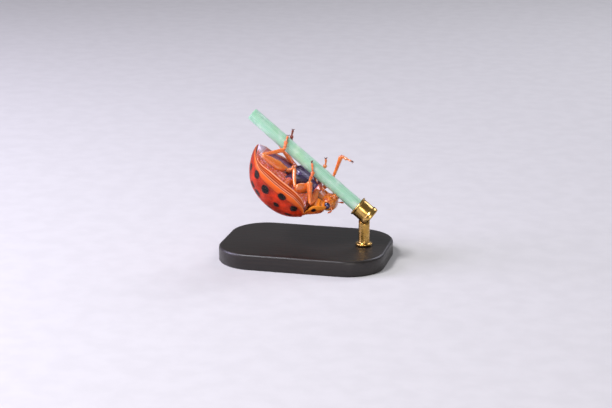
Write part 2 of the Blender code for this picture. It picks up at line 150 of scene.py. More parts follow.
def lip(row: Array, core: Point, along: Array | float, steps: Steps) -> Array:
    """Rows that carry an edge in towards a core, each at its own place along x.

    Args:
        row: the edge, with shape (columns, 3).
        core: the point that the rows make for.
        along: where x is counted from.
        steps: pairs of the share of the way to the core and the step along x.

    Returns:
        The rows, with shape (steps, columns, 3).
    """
    share, ahead = (np.array(steps)[:, k, None] for k in (0, 1))
    rows = row + (np.array(core) - row) * share[..., None]
    rows[..., 0] = along + ahead
    return rows


def rings(centre: Array, wide: Array, thin: Array, count: int) -> Array:
    """Ovals round rows of middles: centre + wide cos(a) + thin sin(a) at even angles a."""
    angle = full_turn(count)[..., None]
    return centre[:, None] + wide[:, None] * np.cos(angle) + thin[:, None] * np.sin(angle)


def ripple(points: Array, pitch: float) -> Array:
    """A smooth irregular field from -1 to 1: the mean of three skewed sine products.

    Args:
        points: places in millimetres, with x, y and z last.
        pitch: the size of one swell in millimetres.

    Returns:
        One value for each place.
    """
    x, y, z = (points[..., k] * (2.0 * math.pi / pitch) for k in range(3))
    first = np.sin(x + 0.6 * np.sin(0.7 * y + 1.1)) * np.sin(0.9 * y + 0.5 * z + 0.4)
    second = np.sin(0.8 * y - 0.6 * x + 2.3) * np.sin(1.1 * z + 0.3 * x + 0.9)
    third = np.sin(1.3 * z + 0.4 * y + 4.0) * np.sin(0.7 * x - 0.9 * z + 1.7)
    return (first + second + third) / 3.0


def unit(vectors: Array) -> Array:
    """Vectors, held last, at length one."""
    return vectors / np.maximum(np.linalg.norm(vectors, axis=-1, keepdims=True), 1e-12)


def normals_of(points: Array, inside: Array) -> Array:
    """Unit normals of a grid: the cross product of its two differences, turned outwards.

    Args:
        points: a grid with shape (rows, columns, 3).
        inside: a point inside the surface.

    Returns:
        Normals of the same shape.
    """
    normal = unit(np.cross(np.gradient(points, axis=1), np.gradient(points, axis=0)))
    outward = np.einsum("ijk,ijk->", normal, points - np.asarray(inside, dtype=float)) >= 0.0
    return normal if outward else -normal


def spline(points: list[Point] | Array, count: int) -> Array:
    """A Catmull-Rom curve through points, sampled at even distances.

    Args:
        points: the places that the curve passes through.
        count: how many samples to take.

    Returns:
        The samples, with shape (count, 3).
    """
    p = np.array(points, dtype=float)
    p = np.vstack([2.0 * p[0] - p[1], p, 2.0 * p[-1] - p[-2]])
    t = np.linspace(0.0, 1.0, 24)[:, None]
    runs = []
    for a, b, c, d in zip(p, p[1:], p[2:], p[3:]):
        runs.append(0.5 * (2.0 * b + (c - a) * t + (2.0 * a - 5.0 * b + 4.0 * c - d) * t ** 2
                           + (3.0 * b - a - 3.0 * c + d) * t ** 3))
    dense = np.vstack(runs)
    reach = np.concatenate([[0.0], np.cumsum(np.linalg.norm(np.diff(dense, axis=0), axis=1))])
    wanted = np.linspace(0.0, reach[-1], count)
    return np.stack([np.interp(wanted, reach, dense[:, k]) for k in range(3)], axis=-1)


# ------------------------------------------------------------------ the insect's axes

@dataclass(frozen=True)
class StemForm:
    """The straight grass stem in the insect's mid plane, in millimetres."""

    radius: float = 0.45
    below_belly: float = 1.749
    upper: float = -5.0
    lower: float = 5.5
    pitch: float = math.radians(4.4)
    veins: int = 26

    @property
    def along(self) -> Array:
        """The axis's direction, towards the lower end."""
        return np.array([math.cos(self.pitch), 0.0, math.sin(self.pitch)])

    @property
    def upright(self) -> Array:
        """The direction across the stem in the mid plane."""
        return np.array([-math.sin(self.pitch), 0.0, math.cos(self.pitch)])

    def point(self, reach: Array) -> Array:
        """Points on the stem's axis at distances along it from under the body's middle."""
        return np.stack([reach * math.cos(self.pitch), reach * 0.0,
                         reach * math.sin(self.pitch) - self.below_belly], axis=-1)

    def beside(self, x: float, angle: float, distance: float) -> Point:
        """A point beside the stem.

        Args:
            x: the place along the body.
            angle: degrees round the stem, 0 on its left and 90 away from the belly.
            distance: how far from its axis, in millimetres.

        Returns:
            The point.
        """
        turn = math.radians(angle)
        level = math.tan(self.pitch) * x - self.below_belly
        return (x, distance * math.cos(turn), level - distance * math.sin(turn))


@dataclass(frozen=True)
class InsectAxes:
    """Where the insect's axes lie in the row frame: an origin in mm and a slope in radians."""

    origin: Array
    slope: float

    @classmethod
    def from_frame(cls, stem: StemForm) -> "InsectAxes":
        """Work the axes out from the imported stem, a bar of known length and radius.

        Its box is length cos + 2 radius sin wide and length sin + 2 radius cos high, which
        gives the slope, and its middle is the box's middle.

        Args:
            stem: the stem's form in the insect's axes.

        Returns:
            The axes.
        """
        low, high = (np.array(corner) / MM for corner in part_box("perch_stem"))
        length, girth = stem.lower - stem.upper, 2.0 * stem.radius
        wide, tall = (high - low)[0], (high - low)[2]
        slope = math.atan2(length * tall - girth * wide, length * wide - girth * tall)
        axes = cls(np.zeros(3), slope - stem.pitch)
        middle = stem.point(np.array([(stem.upper + stem.lower) / 2.0]))
        return cls((low + high) / 2.0 - axes.turned(middle)[0], slope - stem.pitch)

    def turned(self, points: Array) -> Array:
        """Points turned from the insect's axes to the row frame's, still in millimetres."""
        c, s = math.cos(self.slope), math.sin(self.slope)
        return points @ np.array([[c, 0.0, -s], [0.0, -1.0, 0.0], [-s, 0.0, -c]]).T

    def place(self, points: Array) -> Array:
        """Row-frame metres of points given in the insect's millimetres."""
        return (self.turned(points) + self.origin) * MM


@dataclass(frozen=True)
class RowAxes:
    """The row frame itself, in millimetres, for the stand."""

    def place(self, points: Array) -> Array:
        """Row-frame metres of points given in row-frame millimetres."""
        return points * MM


# ------------------------------------------------------------------ meshes from grids

class Piece:
    """Grids gathered into one mesh, with a value or two at each point."""

    def __init__(self, name: str) -> None:
        """Start an empty piece.

        Args:
            name: what it is called.
        """
        self.name = name
        self.points: list[Array] = []
        self.places: list[Array] = []
        self.corners: list[Array] = []
        self.sizes: list[Array] = []
        self.values: dict[str, list[Array]] = {}
        self.count = 0

    def add(self, points: Array, faces: list[Array], places: Array | None = None,
            **values: Array) -> None:
        """Add points and faces that already look outwards.

        Args:
            points: with shape (count, 3).
            faces: blocks of faces with 3 or 4 corners.
            places: where each point's marks lie, if not at the point.
            values: named values, one at each point.
        """
        for block in faces:
            self.corners.append((block + self.count).reshape(-1))
            self.sizes.append(np.full(len(block), block.shape[1]))
        for key in dict.fromkeys([*self.values, *values]):
            held = self.values.setdefault(key, [np.zeros(self.count)])
            held.append(values.get(key, np.zeros(len(points))))
        self.points.append(points)
        self.places.append(points if places is None else places)
        self.count += len(points)

    @staticmethod
    def _quads(index: Array) -> Array:
        """Faces with four corners between neighbours in a grid of point numbers."""
        return np.stack([index[:-1, :-1], index[:-1, 1:], index[1:, 1:], index[1:, :-1]],
                        axis=-1).reshape(-1, 4)

    @staticmethod
    def _fan(row: Array, tip: int) -> Array:
        """Triangles from a row to a pole before it."""
        return np.stack([row[1:], row[:-1], np.full(len(row) - 1, tip)], axis=-1)

    @staticmethod
    def _outward(points: Array, faces: list[Array]) -> list[Array]:
        """Turn all faces over if they close a negative volume.

        Args:
            points: the surface's points.
            faces: its blocks of faces.

        Returns:
            The blocks, looking outwards.
        """
        origin = points.mean(axis=0)
        total = 0.0
        for block in faces:
            first, *rest = (points[block[:, k]] - origin for k in range(block.shape[1]))
            for b, c in zip(rest, rest[1:]):
                total += np.einsum("ij,ij->", np.cross(first, b), c)
        return faces if total > 0.0 else [block[:, ::-1] for block in faces]

    def grid(self, points: Array, first: Array, last: Array, **values: Array | float) -> None:
        """Add a closed surface: rings in order, and a pole before and after them.

        Args:
            points: the rings, with shape (rows, columns, 3).
            first: the pole before the first ring.
            last: the pole after the last ring.
            values: named values, each stretched to the grid.
        """
        rows, columns = points.shape[:2]
        tip = rows * columns
        index = np.arange(tip).reshape(rows, columns)
        ring = np.hstack([index, index[:, :1]])
        faces = [self._quads(ring), self._fan(ring[0], tip), self._fan(ring[-1], tip + 1)[:, ::-1]]
        every = np.vstack([points.reshape(-1, 3), first, last])
        held = {}
        for key, value in values.items():
            full = np.broadcast_to(value, (rows, columns))
            held[key] = np.concatenate([full.reshape(-1), [full[0].mean(), full[-1].mean()]])
        self.add(every, self._outward(every, faces), **held)

    def shell(self, points: Array, thickness: float, inside: Array,
              tip: Array | None = None, **values: Array) -> None:
        """Add a closed shell: a sheet, its copy one thickness inside it, and their edges.

        Args:
            points: the outer sheet, with shape (rows, columns, 3).
            thickness: the wall, in millimetres.
            inside: a point inside the hollow, which tells in from out.
            tip: a pole where the first row comes together, or None.
            values: named values with the grid's shape.
        """
        rows, columns = points.shape[:2]
        normal = normals_of(points, inside)
        end = 2 * rows * columns
        index, inner = np.arange(end).reshape(2, rows, columns)
        faces = [self._quads(index), self._quads(inner)[:, ::-1]]
        edges = [(index[:, 0], inner[:, 0]), (inner[:, -1], index[:, -1])]
        edges += [(inner[0], index[0])] if tip is None else []
        edges.append((index[-1], inner[-1]))
        faces += [self._quads(np.stack(pair)) for pair in edges]
        every = [points.reshape(-1, 3), (points - normal * thickness).reshape(-1, 3)]
        held = {key: np.tile(value.reshape(-1), 2) for key, value in values.items()}
        if tip is not None:
            every += [tip, tip - normal[0].mean(axis=0) * thickness]
            faces += [self._fan(index[0], end), self._fan(inner[0], end + 1)[:, ::-1],
                      np.array([[end, end + 1, inner[0, 0], index[0, 0]],
                                [end + 1, end, index[0, -1], inner[0, -1]]])]
            held = {key: np.concatenate([value, np.full(2, value[:columns].mean())])
                    for key, value in held.items()}
        cloud = np.vstack(every)
        self.add(cloud, self._outward(cloud, faces), **held)

    def build(self, axes: InsectAxes | RowAxes, material: Material, slot: str,
              *replaces: str) -> bpy.types.Object:
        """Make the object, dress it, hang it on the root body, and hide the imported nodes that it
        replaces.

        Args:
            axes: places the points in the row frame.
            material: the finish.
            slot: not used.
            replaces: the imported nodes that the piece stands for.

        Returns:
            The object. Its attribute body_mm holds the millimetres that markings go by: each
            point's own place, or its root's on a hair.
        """
        own = np.vstack(self.points)
        corners, sizes = np.concatenate(self.corners), np.concatenate(self.sizes)
        mesh = bpy.data.meshes.new(self.name)
        mesh.vertices.add(len(own))
        mesh.vertices.foreach_set("co", axes.place(own).astype(np.float32).reshape(-1))
        mesh.loops.add(len(corners))
        mesh.loops.foreach_set("vertex_index", corners.astype(np.int32))
        mesh.polygons.add(len(sizes))
        starts = np.concatenate([[0], np.cumsum(sizes)[:-1]])
        mesh.polygons.foreach_set("loop_start", starts.astype(np.int32))
        mesh.update(calc_edges=True)
        mesh.validate()
        mesh.shade_smooth()
        marks = [("body_mm", "FLOAT_VECTOR", "vector", np.vstack(self.places))]
        marks += [(key, "FLOAT", "value", np.concatenate(parts))
                  for key, parts in self.values.items()]
        for key, kind, field, held in marks:
            mark = mesh.attributes.new(key, kind, "POINT")
            mark.data.foreach_set(field, held.astype(np.float32).reshape(-1))
        made = bpy.data.objects.new(self.name, mesh)
        bpy.context.scene.collection.objects.link(made)
        mesh.materials.append(material)
        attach(made, "root")
        if replaces:
            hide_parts(*replaces)
        log.info("%s: %d points, %d faces", self.name, len(own), len(sizes))
        return made


def limb(path: list[Point] | Array, sizes: list[Point], wide: Point, rows: int,
         columns: int) -> Tube:
    """A tube of oval rings along a curve, with rounded ends.

    Args:
        path: the places that the curve passes through.
        sizes: rows of (share of the length, wide half size, thin half size).
        wide: the direction that the wide half size faces.
        rows: rings along the tube.
        columns: points round each ring.

    Returns:
        The grid of points and its two poles.
    """
    dense = spline(path, CURVE_SAMPLES)
    share = cosine_steps(0.0, 1.0, rows + 2)
    at = share * (len(dense) - 1)
    centre = np.stack([np.interp(at, np.arange(len(dense)), dense[:, k]) for k in range(3)],
                      axis=-1)
    along = unit(np.gradient(centre, axis=0))
    across = unit(np.cross(along, np.array(wide, dtype=float)))
    upright = np.cross(across, along)
    size = np.array(sizes, dtype=float)
    broad, thin = (np.interp(share, size[:, 0], size[:, k]) for k in (1, 2))
    length = np.linalg.norm(np.diff(dense, axis=0), axis=1).sum()
    end = np.minimum(share, 1.0 - share) * length
    cap = np.minimum(thin, 0.3 * length)
    round_off = np.sqrt(np.clip(1.0 - (1.0 - np.minimum(end / cap, 1.0)) ** 2, 0.0, 1.0))
    points = rings(centre, upright * (broad * round_off)[:, None],
                   across * (thin * round_off)[:, None], columns)
    return points[1:-1], centre[0], centre[-1]


def egg(centre: Point | Array, radii: Point, rows: int, columns: int,
        power: float = 1.0) -> Tube:
    """An egg with its poles on x: radii times cos and sin of two angles, each to a power.

    Args:
        centre: its middle.
        radii: half sizes along x, y and z.
        rows: rings between the poles.
        columns: points round a ring.
        power: below 1 makes it squarer.

    Returns:
        The grid of points and its two poles.
    """
    turn = np.linspace(0.0, math.pi, rows + 2)[1:-1, None]
    angle = full_turn(columns)
    ring = np.sin(turn) ** power
    points = grid_of(-radii[0] * bent(np.cos(turn), power),
                     radii[1] * ring * bent(np.cos(angle), power),
                     radii[2] * ring * bent(np.sin(angle), power))
    middle = np.asarray(centre, dtype=float)
    ends = np.array([radii[0], 0.0, 0.0])
    return points + middle, middle - ends, middle + ends


# ------------------------------------------------------------------ hairs

@dataclass
class Roots:
    """Where hairs grow: places, surface normals, lie, how black the skin is there, and the
    places on the skin's own unwrap."""

    places: Array
    normals: Array
    lie: Array
    black: Array
    unwrap: Array


def scatter(points: Array, count: int, rng: np.random.Generator, inside: Array,
            lie: Point, patch: tuple[float, float, float, float] = (0.02, 0.02, 0.98, 0.98),
            wrap: bool = False, black: Array | None = None) -> Roots:
    """Spread hair roots evenly over a grid, by face area.

    Args:
        points: the grid, with shape (rows, columns, 3).
        count: how many roots.
        rng: the seeded random numbers.
        inside: a point inside the surface, which tells in from out.
        lie: the direction in which the hairs lie.
        patch: the part of the unwrap that this grid takes: left, bottom, right, top.
        wrap: the last column joins the first.
        black: the skin's black pigment, on the same grid.

    Returns:
        The roots.
    """
    if black is None:
        black = np.zeros(points.shape[:2])
    if wrap:
        points = np.concatenate([points, points[:, :1]], axis=1)
    rows, columns = points.shape[:2]
    normal = normals_of(points, inside)
    a, b, c = points[:-1, :-1], points[:-1, 1:], points[1:, :-1]
    area = np.linalg.norm(np.cross(b - a, c - a), axis=-1).reshape(-1)
    total = np.cumsum(area)
    picked = (np.arange(count) + rng.random(count)) / count * total[-1]
    face = np.minimum(np.searchsorted(total, picked), len(area) - 1)
    i, j = face // (columns - 1), face % (columns - 1)
    u, v = rng.random(count), rng.random(count)

    def blend(field: Array) -> Array:
        """The field at each root, mixed from the face's four corners.

        Args:
            field: a grid of vectors.

        Returns:
            One vector for each root.
        """
        s, t = u[:, None], v[:, None]
        return (field[i, j] * (1 - s) * (1 - t) + field[i + 1, j] * s * (1 - t)
                + field[i, j + 1] * (1 - s) * t + field[i + 1, j + 1] * s * t)

    up = unit(blend(normal))
    flow = np.array(lie, dtype=float) - up * (up @ np.array(lie, dtype=float))[:, None]
    left, bottom, right, top = patch
    unwrap = np.stack([left + (right - left) * (j + v) / (columns - 1),
                       bottom + (top - bottom) * (i + u) / (rows - 1)], axis=-1)
    return Roots(blend(points), up, unit(flow), black[i, j][:, None], unwrap)


@dataclass(frozen=True)
class Hair:
    """One kind of short hair: its length and width in millimetres and its rise off the skin
    in degrees, how far hairs stray sideways, and how big a hair's patch is on the map."""

    length: float = 0.085
    width: float = 0.0055
    rise: float = 24.0
    spread: float = 0.25
    patch: float = 0.003

    def grow(self, name: str, fields: list[Roots], bench: "Bench",
             material: Material, slot: str) -> None:
        """Grow three-sided spikes from the roots and join them into one piece.

        Each spike has a ring of three points just under the skin, a ring at 0.55 of its
        length, and a tip bent back towards the lie. Its map OFBake holds one small patch
        for each hair, at the root's place on the skin's unwrap.

        Args:
            name: the piece's name.
            fields: where the hairs grow.
            bench: what the makers share.
            material: the finish.
            slot: the record's material slot.
        """
        places, normals, lie, black, unwrap = (
            np.vstack([getattr(part, key) for part in fields])
            for key in ("places", "normals", "lie", "black", "unwrap"))
        count = len(places)
        rng = bench.rng
        length = self.length * rng.uniform(0.75, 1.2, (count, 1))
        way = unit(lie + np.cross(normals, lie) * rng.normal(0.0, self.spread, (count, 1)))
        rise = np.radians(self.rise * rng.uniform(0.6, 1.5, (count, 1)))
        stem, curl = (way * np.cos(angle) + normals * np.sin(angle)
                      for angle in (rise, rise * 0.45))
        one = unit(np.cross(stem, normals + 0.01))
        two = np.cross(stem, one)
        width = self.width * rng.uniform(0.8, 1.2, (count, 1))
        foot = places - normals * self.width
        middle = places + stem * length * 0.55
        spikes = np.concatenate([rings(foot, one * width * 0.5, two * width * 0.5, 3),
                                 rings(middle, one * width * 0.42, two * width * 0.42, 3),
                                 (middle + curl * length * 0.45)[:, None]], axis=1)
        start = (np.arange(count) * SPIKE_POINTS)[:, None]
        pairs = [(k, (k + 1) % 3) for k in range(3)]
        quads = np.concatenate([start + np.array([[a, b, 3 + b, 3 + a]]) for a, b in pairs])
        tris = np.concatenate([start + np.array([[3 + a, 3 + b, 6]]) for a, b in pairs]
                              + [start + np.array([[2, 1, 0]])])
        piece = Piece(name)
        piece.add(spikes.reshape(-1, 3), [quads, tris],
                  np.repeat(places, SPIKE_POINTS, axis=0),
                  black=np.repeat(black[:, 0], SPIKE_POINTS))
        self._map(piece.build(bench.axes, material, slot), [quads, tris], unwrap)

    def _map(self, made: bpy.types.Object, faces: list[Array], unwrap: Array) -> None:
        """Write the OFBake map: the root's place plus a corner of a small patch.

        The sides stand beside each other in the patch, and the foot takes its last strip.

        Args:
            made: the coat.
            faces: its blocks of faces.
            unwrap: the roots' places on the skin's unwrap.
        """
        pitch, wide = 0.27, 0.26
        strips = [pitch * k for k in range(3)]
        shapes = [[(x, 0.0), (x + wide, 0.0), (x + wide, 0.5), (x, 0.5)] for x in strips]
        shapes += [[(x, 0.5), (x + wide, 0.5), (x + wide / 2.0, 1.0)] for x in strips]
        shapes.append([(0.85, 0.0), (1.0, 0.0), (0.92, 0.3)])
        steps = np.vstack([np.tile(np.array(shape), (len(unwrap), 1)) for shape in shapes])
        corners = np.concatenate([block.reshape(-1) for block in faces])
        uv = unwrap[corners // SPIKE_POINTS] + (steps - 0.5) * self.patch
        layer = made.data.uv_layers.new(name="OFBake")
        layer.uv.foreach_set("vector", uv.astype(np.float32).reshape(-1))


# ------------------------------------------------------------------ finishes

def linear(colour: str) -> tuple[float, float, float, float]:
    """An sRGB hex colour as linear RGBA, by the sRGB curve.

    Args:
        colour: six hex digits after a #.

    Returns:
        Linear red, green and blue, and 1.
    """
    parts = [int(colour[k:k + 2], 16) / 255.0 for k in (1, 3, 5)]
    low = [part / 12.92 if part <= 0.04045 else ((part + 0.055) / 1.055) ** 2.4
           for part in parts]
    return (low[0], low[1], low[2], 1.0)


class Wiring:
    """One new material and the nodes in it."""

    def __init__(self, name: str) -> None:
        """Make a Principled material that knows each point's place in millimetres.

        Args:
            name: what it is called.
        """
        self.material = bpy.data.materials.new(name)
        self.material.use_nodes = True
        self.tree = self.material.node_tree
        self.shader = self.tree.nodes["Principled BSDF"]
        self.where = self.add("Attribute", {}, "Vector", attribute_name="body_mm")

    def _fill(self, sockets: bpy.types.NodeInputs, values: dict) -> None:
        """Link or set some inputs.

        Args:
            sockets: a node's inputs.
            values: a socket or a value for each, by name or number.
        """
        for key, value in values.items():
            if isinstance(value, Socket):
                self.tree.links.new(value, sockets[key])
            else:
                sockets[key].default_value = value

    def add(self, kind: str, inputs: dict, out: int | str = 0, **settings: object) -> Socket:
        """Add a node, set it up, and fill or link its inputs.

        Args:
            kind: the node's type, without ShaderNode.
            inputs: values or sockets for its inputs, by name or number.
            out: the output to hand back.
            settings: the node's own properties.

        Returns:
            The output socket.
        """
        node = self.tree.nodes.new("ShaderNode" + kind)
        for key, value in settings.items():
            setattr(node, key, value)
        self._fill(node.inputs, inputs)
        return node.outputs[out]

    def surface(self, values: dict[str, object]) -> None:
        """Set or link the shader's own sockets, by name."""
        self._fill(self.shader.inputs, values)

    def mottle(self, size: float, low: float, high: float, start: float = 0.0,
               end: float = 1.0, detail: float = 3.0, where: Socket | None = None) -> Socket:
        """Uneven growth: noise, then a smooth step between two of its levels.

        Args:
            size: the width of one swell, in the units of the place.
            low: the noise level where the step starts.
            high: the noise level where it ends.
            start: what low gives.
            end: what high gives.
            detail: how many finer swells ride on the first.
            where: the place to read, if not the piece's own.

        Returns:
            The value.
        """
        cloud = self.add("TexNoise", {"Vector": where or self.where, "Scale": 1.0 / size,
                                      "Detail": detail}, "Fac")
        return self.add("MapRange", {0: cloud, 1: low, 2: high, 3: start, 4: end},
                        interpolation_type="SMOOTHSTEP")

    def held(self, name: str, low: float = 0.0, high: float = 1.0, start: float = 0.0,
             end: float = 1.0) -> Socket:
        """A mark held at the piece's points, through a smooth step from low to high.

        Args:
            name: the mark's name.
            low: the mark where the step starts.
            high: the mark where it ends.
            start: what low gives.
            end: what high gives.

        Returns:
            The value.
        """
        mark = self.add("Attribute", {}, "Fac", attribute_name=name)
        return self.add("MapRange", {0: mark, 1: low, 2: high, 3: start, 4: end},
                        interpolation_type="SMOOTHSTEP")

    def pits(self, pitch: float, share: float = 0.30) -> Socket:
        """Round punctures: 1 between them, 0 at their floors.

        Args:
            pitch: how far apart they are, in millimetres.
            share: their radius, as a share of the pitch.

        Returns:
            The value.
        """
        gap = self.add("TexVoronoi", {"Vector": self.where, "Scale": 1.0 / pitch,
                                      "Randomness": 0.8}, "Distance")
        return self.add("MapRange", {0: gap, 1: share * 0.35, 2: share},
                        interpolation_type="SMOOTHSTEP")

    def paint(self, base: Socket | str, *layers: tuple[Socket | float, Socket | str]) -> Socket:
        """Layers of pigment over a base.

        Args:
            base: the first colour, as a hex string or a socket.
            layers: pairs of how much a layer covers and its colour.

        Returns:
            The colour.
        """
        colour = linear(base) if isinstance(base, str) else base
        for share, pigment in layers:
            over = linear(pigment) if isinstance(pigment, str) else pigment
            colour = self.add("Mix", {0: share, 6: colour, 7: over}, 2, data_type="RGBA")
        return colour

    def relief(self, *layers: tuple[Socket, float]) -> None:
        """Stack fine relief on the shader.

        Args:
            layers: pairs of a height from 0 to 1 and its depth in millimetres.
        """
        normal = None
        for height, depth in layers:
            inputs = {"Height": height, "Distance": depth * MM, "Strength": 1.0}
            if normal is not None:
                inputs["Normal"] = normal
            normal = self.add("Bump", inputs)
        self.surface({"Normal": normal})


@dataclass(frozen=True)
class Markings:
    """Ground colours and dark spots, which the skin and its hairs share.

    The spots are balls round points on the shell, in millimetres, the same on both sides.
    """

    ground: str
    deep: str
    edge: str
    spot: str
    spots: tuple[Spot, ...]
    wobble: float = 0.10
    fringe: float = 0.07

    def spread(self, w: Wiring) -> Socket:
        """How far a point lies from the nearest spot's middle, over that spot's radius.

        The place is mirrored to the left side and shifted a little by noise, so that the
        spots' edges are uneven; the least of the distances over the radii is kept.

        Args:
            w: the material's wiring.

        Returns:
            The ratio, under 1 inside a spot.
        """
        x, apart, z = (w.add("SeparateXYZ", {0: w.where}, axis) for axis in "XYZ")
        left = w.add("Math", {0: apart}, operation="ABSOLUTE")
        mirrored = w.add("CombineXYZ", {0: x, 1: left, 2: z})
        drift = w.add("TexNoise", {"Vector": w.where, "Scale": 1.0 / 0.24, "Detail": 3.0},
                      "Color")
        centred = w.add("VectorMath", {0: drift, 1: (0.5, 0.5, 0.5)}, operation="SUBTRACT")
        moved = w.add("VectorMath", {0: centred, 1: (self.wobble * 2.0,) * 3, 2: mirrored},
                      operation="MULTIPLY_ADD")
        nearest: Socket | float = 9.0
        for *place, radius in self.spots:
            gap = w.add("VectorMath", {0: moved, 1: place}, "Value", operation="DISTANCE")
            ratio = w.add("Math", {0: gap, 1: radius}, operation="DIVIDE")
            nearest = w.add("Math", {0: nearest, 1: ratio}, operation="MINIMUM")
        return nearest

    def colour(self, w: Wiring) -> Socket:
        """The colour at a point: mottled ground, pale edge, painted shade held in grooves, painted
        highlight held on crests, a burnt ring, then the spot.

        Args:
            w: the material's wiring.

        Returns:
            The colour.
        """
        nearest = self.spread(w)
        inside = w.add("MapRange", {0: nearest, 1: 1.0 - self.fringe, 2: 1.0 + self.fringe,
                                    3: 1.0, 4: 0.0}, interpolation_type="SMOOTHSTEP")
        ring = w.add("MapRange", {0: nearest, 1: 0.95, 2: 1.50, 3: 0.55, 4: 0.0},
                     interpolation_type="SMOOTHSTEP")
        return w.paint(self.ground, (w.mottle(0.9, 0.35, 0.68), self.deep),
                       (w.mottle(0.16, 0.48, 0.72, 0.0, 0.45), self.deep),
                       (w.mottle(0.05, 0.50, 0.78, 0.0, 0.30, 2.0), self.edge),
                       (w.held("edge"), self.edge),
                       # Painted shade: dark lines where line is held, in grooves; painted highlight:
                       # pale lines where ridge is held, on crests.
                       (w.held("line", 0.0, 1.0, 0.0, 0.9), "#7A1A0A"),
                       (w.held("ridge", 0.0, 1.0, 0.0, 0.85), "#FFC9A4"),
                       (ring, self.deep), (inside, self.spot))


@dataclass(frozen=True)
class SpottedShell:
    """Hard chitin of the wing cases and the neck shield, waxy, with black spots.

    A clear outer layer lies over a pigmented one: a soft gloss on a warm, uneven red-orange.
    Fine pits scatter the gloss, and a faint sheen gives a lilac bloom where the surface
    turns away.
    """

    name: str
    markings: Markings
    pit_pitch: float = 0.060

    def make(self) -> Material:
        """Build the material.

        Returns:
            The material.
        """
        w = Wiring(self.name)
        w.surface({"Base Color": self.markings.colour(w),
                   "Roughness": w.mottle(0.06, 0.2, 0.8, 0.30, 0.46),
                   "IOR": 1.5, "Specular IOR Level": 0.18, "Coat Weight": 0.05,
                   "Coat Roughness": 0.14, "Sheen Weight": 0.03, "Sheen Roughness": 0.25,
                   "Sheen Tint": linear("#CFC4FF")})
        w.relief((w.mottle(0.35, 0.0, 1.0, detail=2.0), 0.030), (w.pits(self.pit_pitch), 0.012))
        return w.material


@dataclass(frozen=True)
class SpottedDown:
    """Short fine down on the spotted shells: clear threads that take the colour beneath.

    Each hair is paler than the skin on the ground colour, and smoky on a black spot.
    """

    name: str
    markings: Markings
    pale: str = "#FFC9A0"

    def make(self) -> Material:
        """Build the material; body_mm is the root's place, so the marks line up.

        Returns:
            The material.
        """
        w = Wiring(self.name)
        below = self.markings.colour(w)
        w.surface({"Base Color": w.paint(below, (w.mottle(0.25, 0.3, 0.7, 0.04, 0.16), self.pale)),
                   "Roughness": w.mottle(0.1, 0.2, 0.8, 0.38, 0.52), "IOR": 1.55})
        return w.material


@dataclass(frozen=True)
class Chitin:
    """Insect plate: pigment in uneven layers under a clear glossy skin, finely pitted.

    Clouds are (size in mm, low, high, most, colour), the mottled layers over the ground.
    Stains are (mark, low, high, most, colour), which follow marks held at the points.
    """

    name: str
    ground: str
    clouds: tuple[tuple[float, float, float, float, str], ...]
    stains: tuple[tuple[str, float, float, float, str], ...] = ()
    rough: tuple[float, float] = (0.22, 0.40)
    gloss: tuple[float, float] = (0.35, 0.12)
    gloss_tint: str = "#FFFFFF"
    glow: float = 0.0
    swell: tuple[float, float] = (0.16, 0.020)
    pits: tuple[float, float, float] = (0.05, 0.30, 0.010)

    def make(self) -> Material:
        """Build the material: ground, clouds, stains, then gloss, glow and relief.

        Returns:
            The material.
        """
        w = Wiring(self.name)
        layers = [(w.mottle(size, low, high, 0.0, most), colour)
                  for size, low, high, most, colour in self.clouds]
        layers += [(w.held(mark, low, high, 0.0, most), colour)
                   for mark, low, high, most, colour in self.stains]
        w.surface({"Base Color": w.paint(self.ground, *layers),
                   "Roughness": w.mottle(0.06, 0.2, 0.8, *self.rough), "IOR": 1.56,
                   "Coat Weight": self.gloss[0], "Coat Roughness": self.gloss[1],
                   "Coat IOR": 1.8,
                   "Coat Tint": linear(self.gloss_tint), "Subsurface Weight": self.glow,
                   "Subsurface Radius": (1.0, 0.40, 0.12), "Subsurface Scale": 0.12 * MM})
        pitch, share, depth = self.pits
        w.relief((w.mottle(self.swell[0], 0.0, 1.0, detail=2.0), self.swell[1]),
                 (w.pits(pitch, share), depth))
        return w.material


# Head, mouthparts and scutellum: clear yellow-orange with burnt freckles, glowing a little.
HEAD_CHITIN = Chitin(
    "head_chitin", "#F08A1E",
    ((0.30, 0.35, 0.70, 1.0, "#D2500E"), (0.10, 0.54, 0.68, 0.75, "#FFD09A"),
     (0.14, 0.55, 0.66, 0.85, "#98240A")),
    (("shade", 0.0, 1.0, 1.0, "#7A240C"), ("tip", 0.0, 1.0, 1.0, "#1B0A08")),
    glow=0.12, swell=(0.16, 0.025), pits=(0.05, 0.36, 0.014))

# Breast and belly: orange sides round a purple-black middle, all with punctures. The gloss
# between them is tinted a cold blue-violet. The pale pink specks are painted highlights, the
# near-white tail tip is a painted highlight, and the dark seams and the fold under the
# shield's cheeks are painted shade.
BELLY_CHITIN = Chitin(
    "breast_and_belly_chitin", "#EE701E",
    ((0.35, 0.38, 0.70, 1.0, "#D24412"), (0.12, 0.50, 0.72, 0.9, "#FFAAB4")),
    (("pale", 0.0, 1.0, 1.0, "#FFF1E6"), ("gold", 0.0, 1.0, 0.8, "#F09028"),
     ("black", 0.40, 0.60, 1.0, "#4A2C56"), ("seam_shade", 0.0, 1.0, 0.7, "#5A1A0C")),
    rough=(0.24, 0.42), gloss=(0.60, 0.20), gloss_tint="#CFC6FF", swell=(0.20, 0.030),
    pits=(0.075, 0.36, 0.014))

# Legs and feelers: clear orange tubes that light shines through, smooth and glossy. The
# pale pink specks are painted highlights. The joint stain darkens the joints, and on one
# leg also the whole foot as painted shade.
LIMB_CHITIN = Chitin(
    "limb_chitin", "#FF8A2A",
    ((0.35, 0.36, 0.74, 1.0, "#F26014"), (0.07, 0.50, 0.80, 0.6, "#FFB898")),
    (("joint", 0.0, 1.0, 1.0, "#8E1E0C"),),
    rough=(0.24, 0.38), gloss=(0.80, 0.18), glow=0.12, swell=(0.10, 0.012),
    pits=(0.05, 0.30, 0.006))

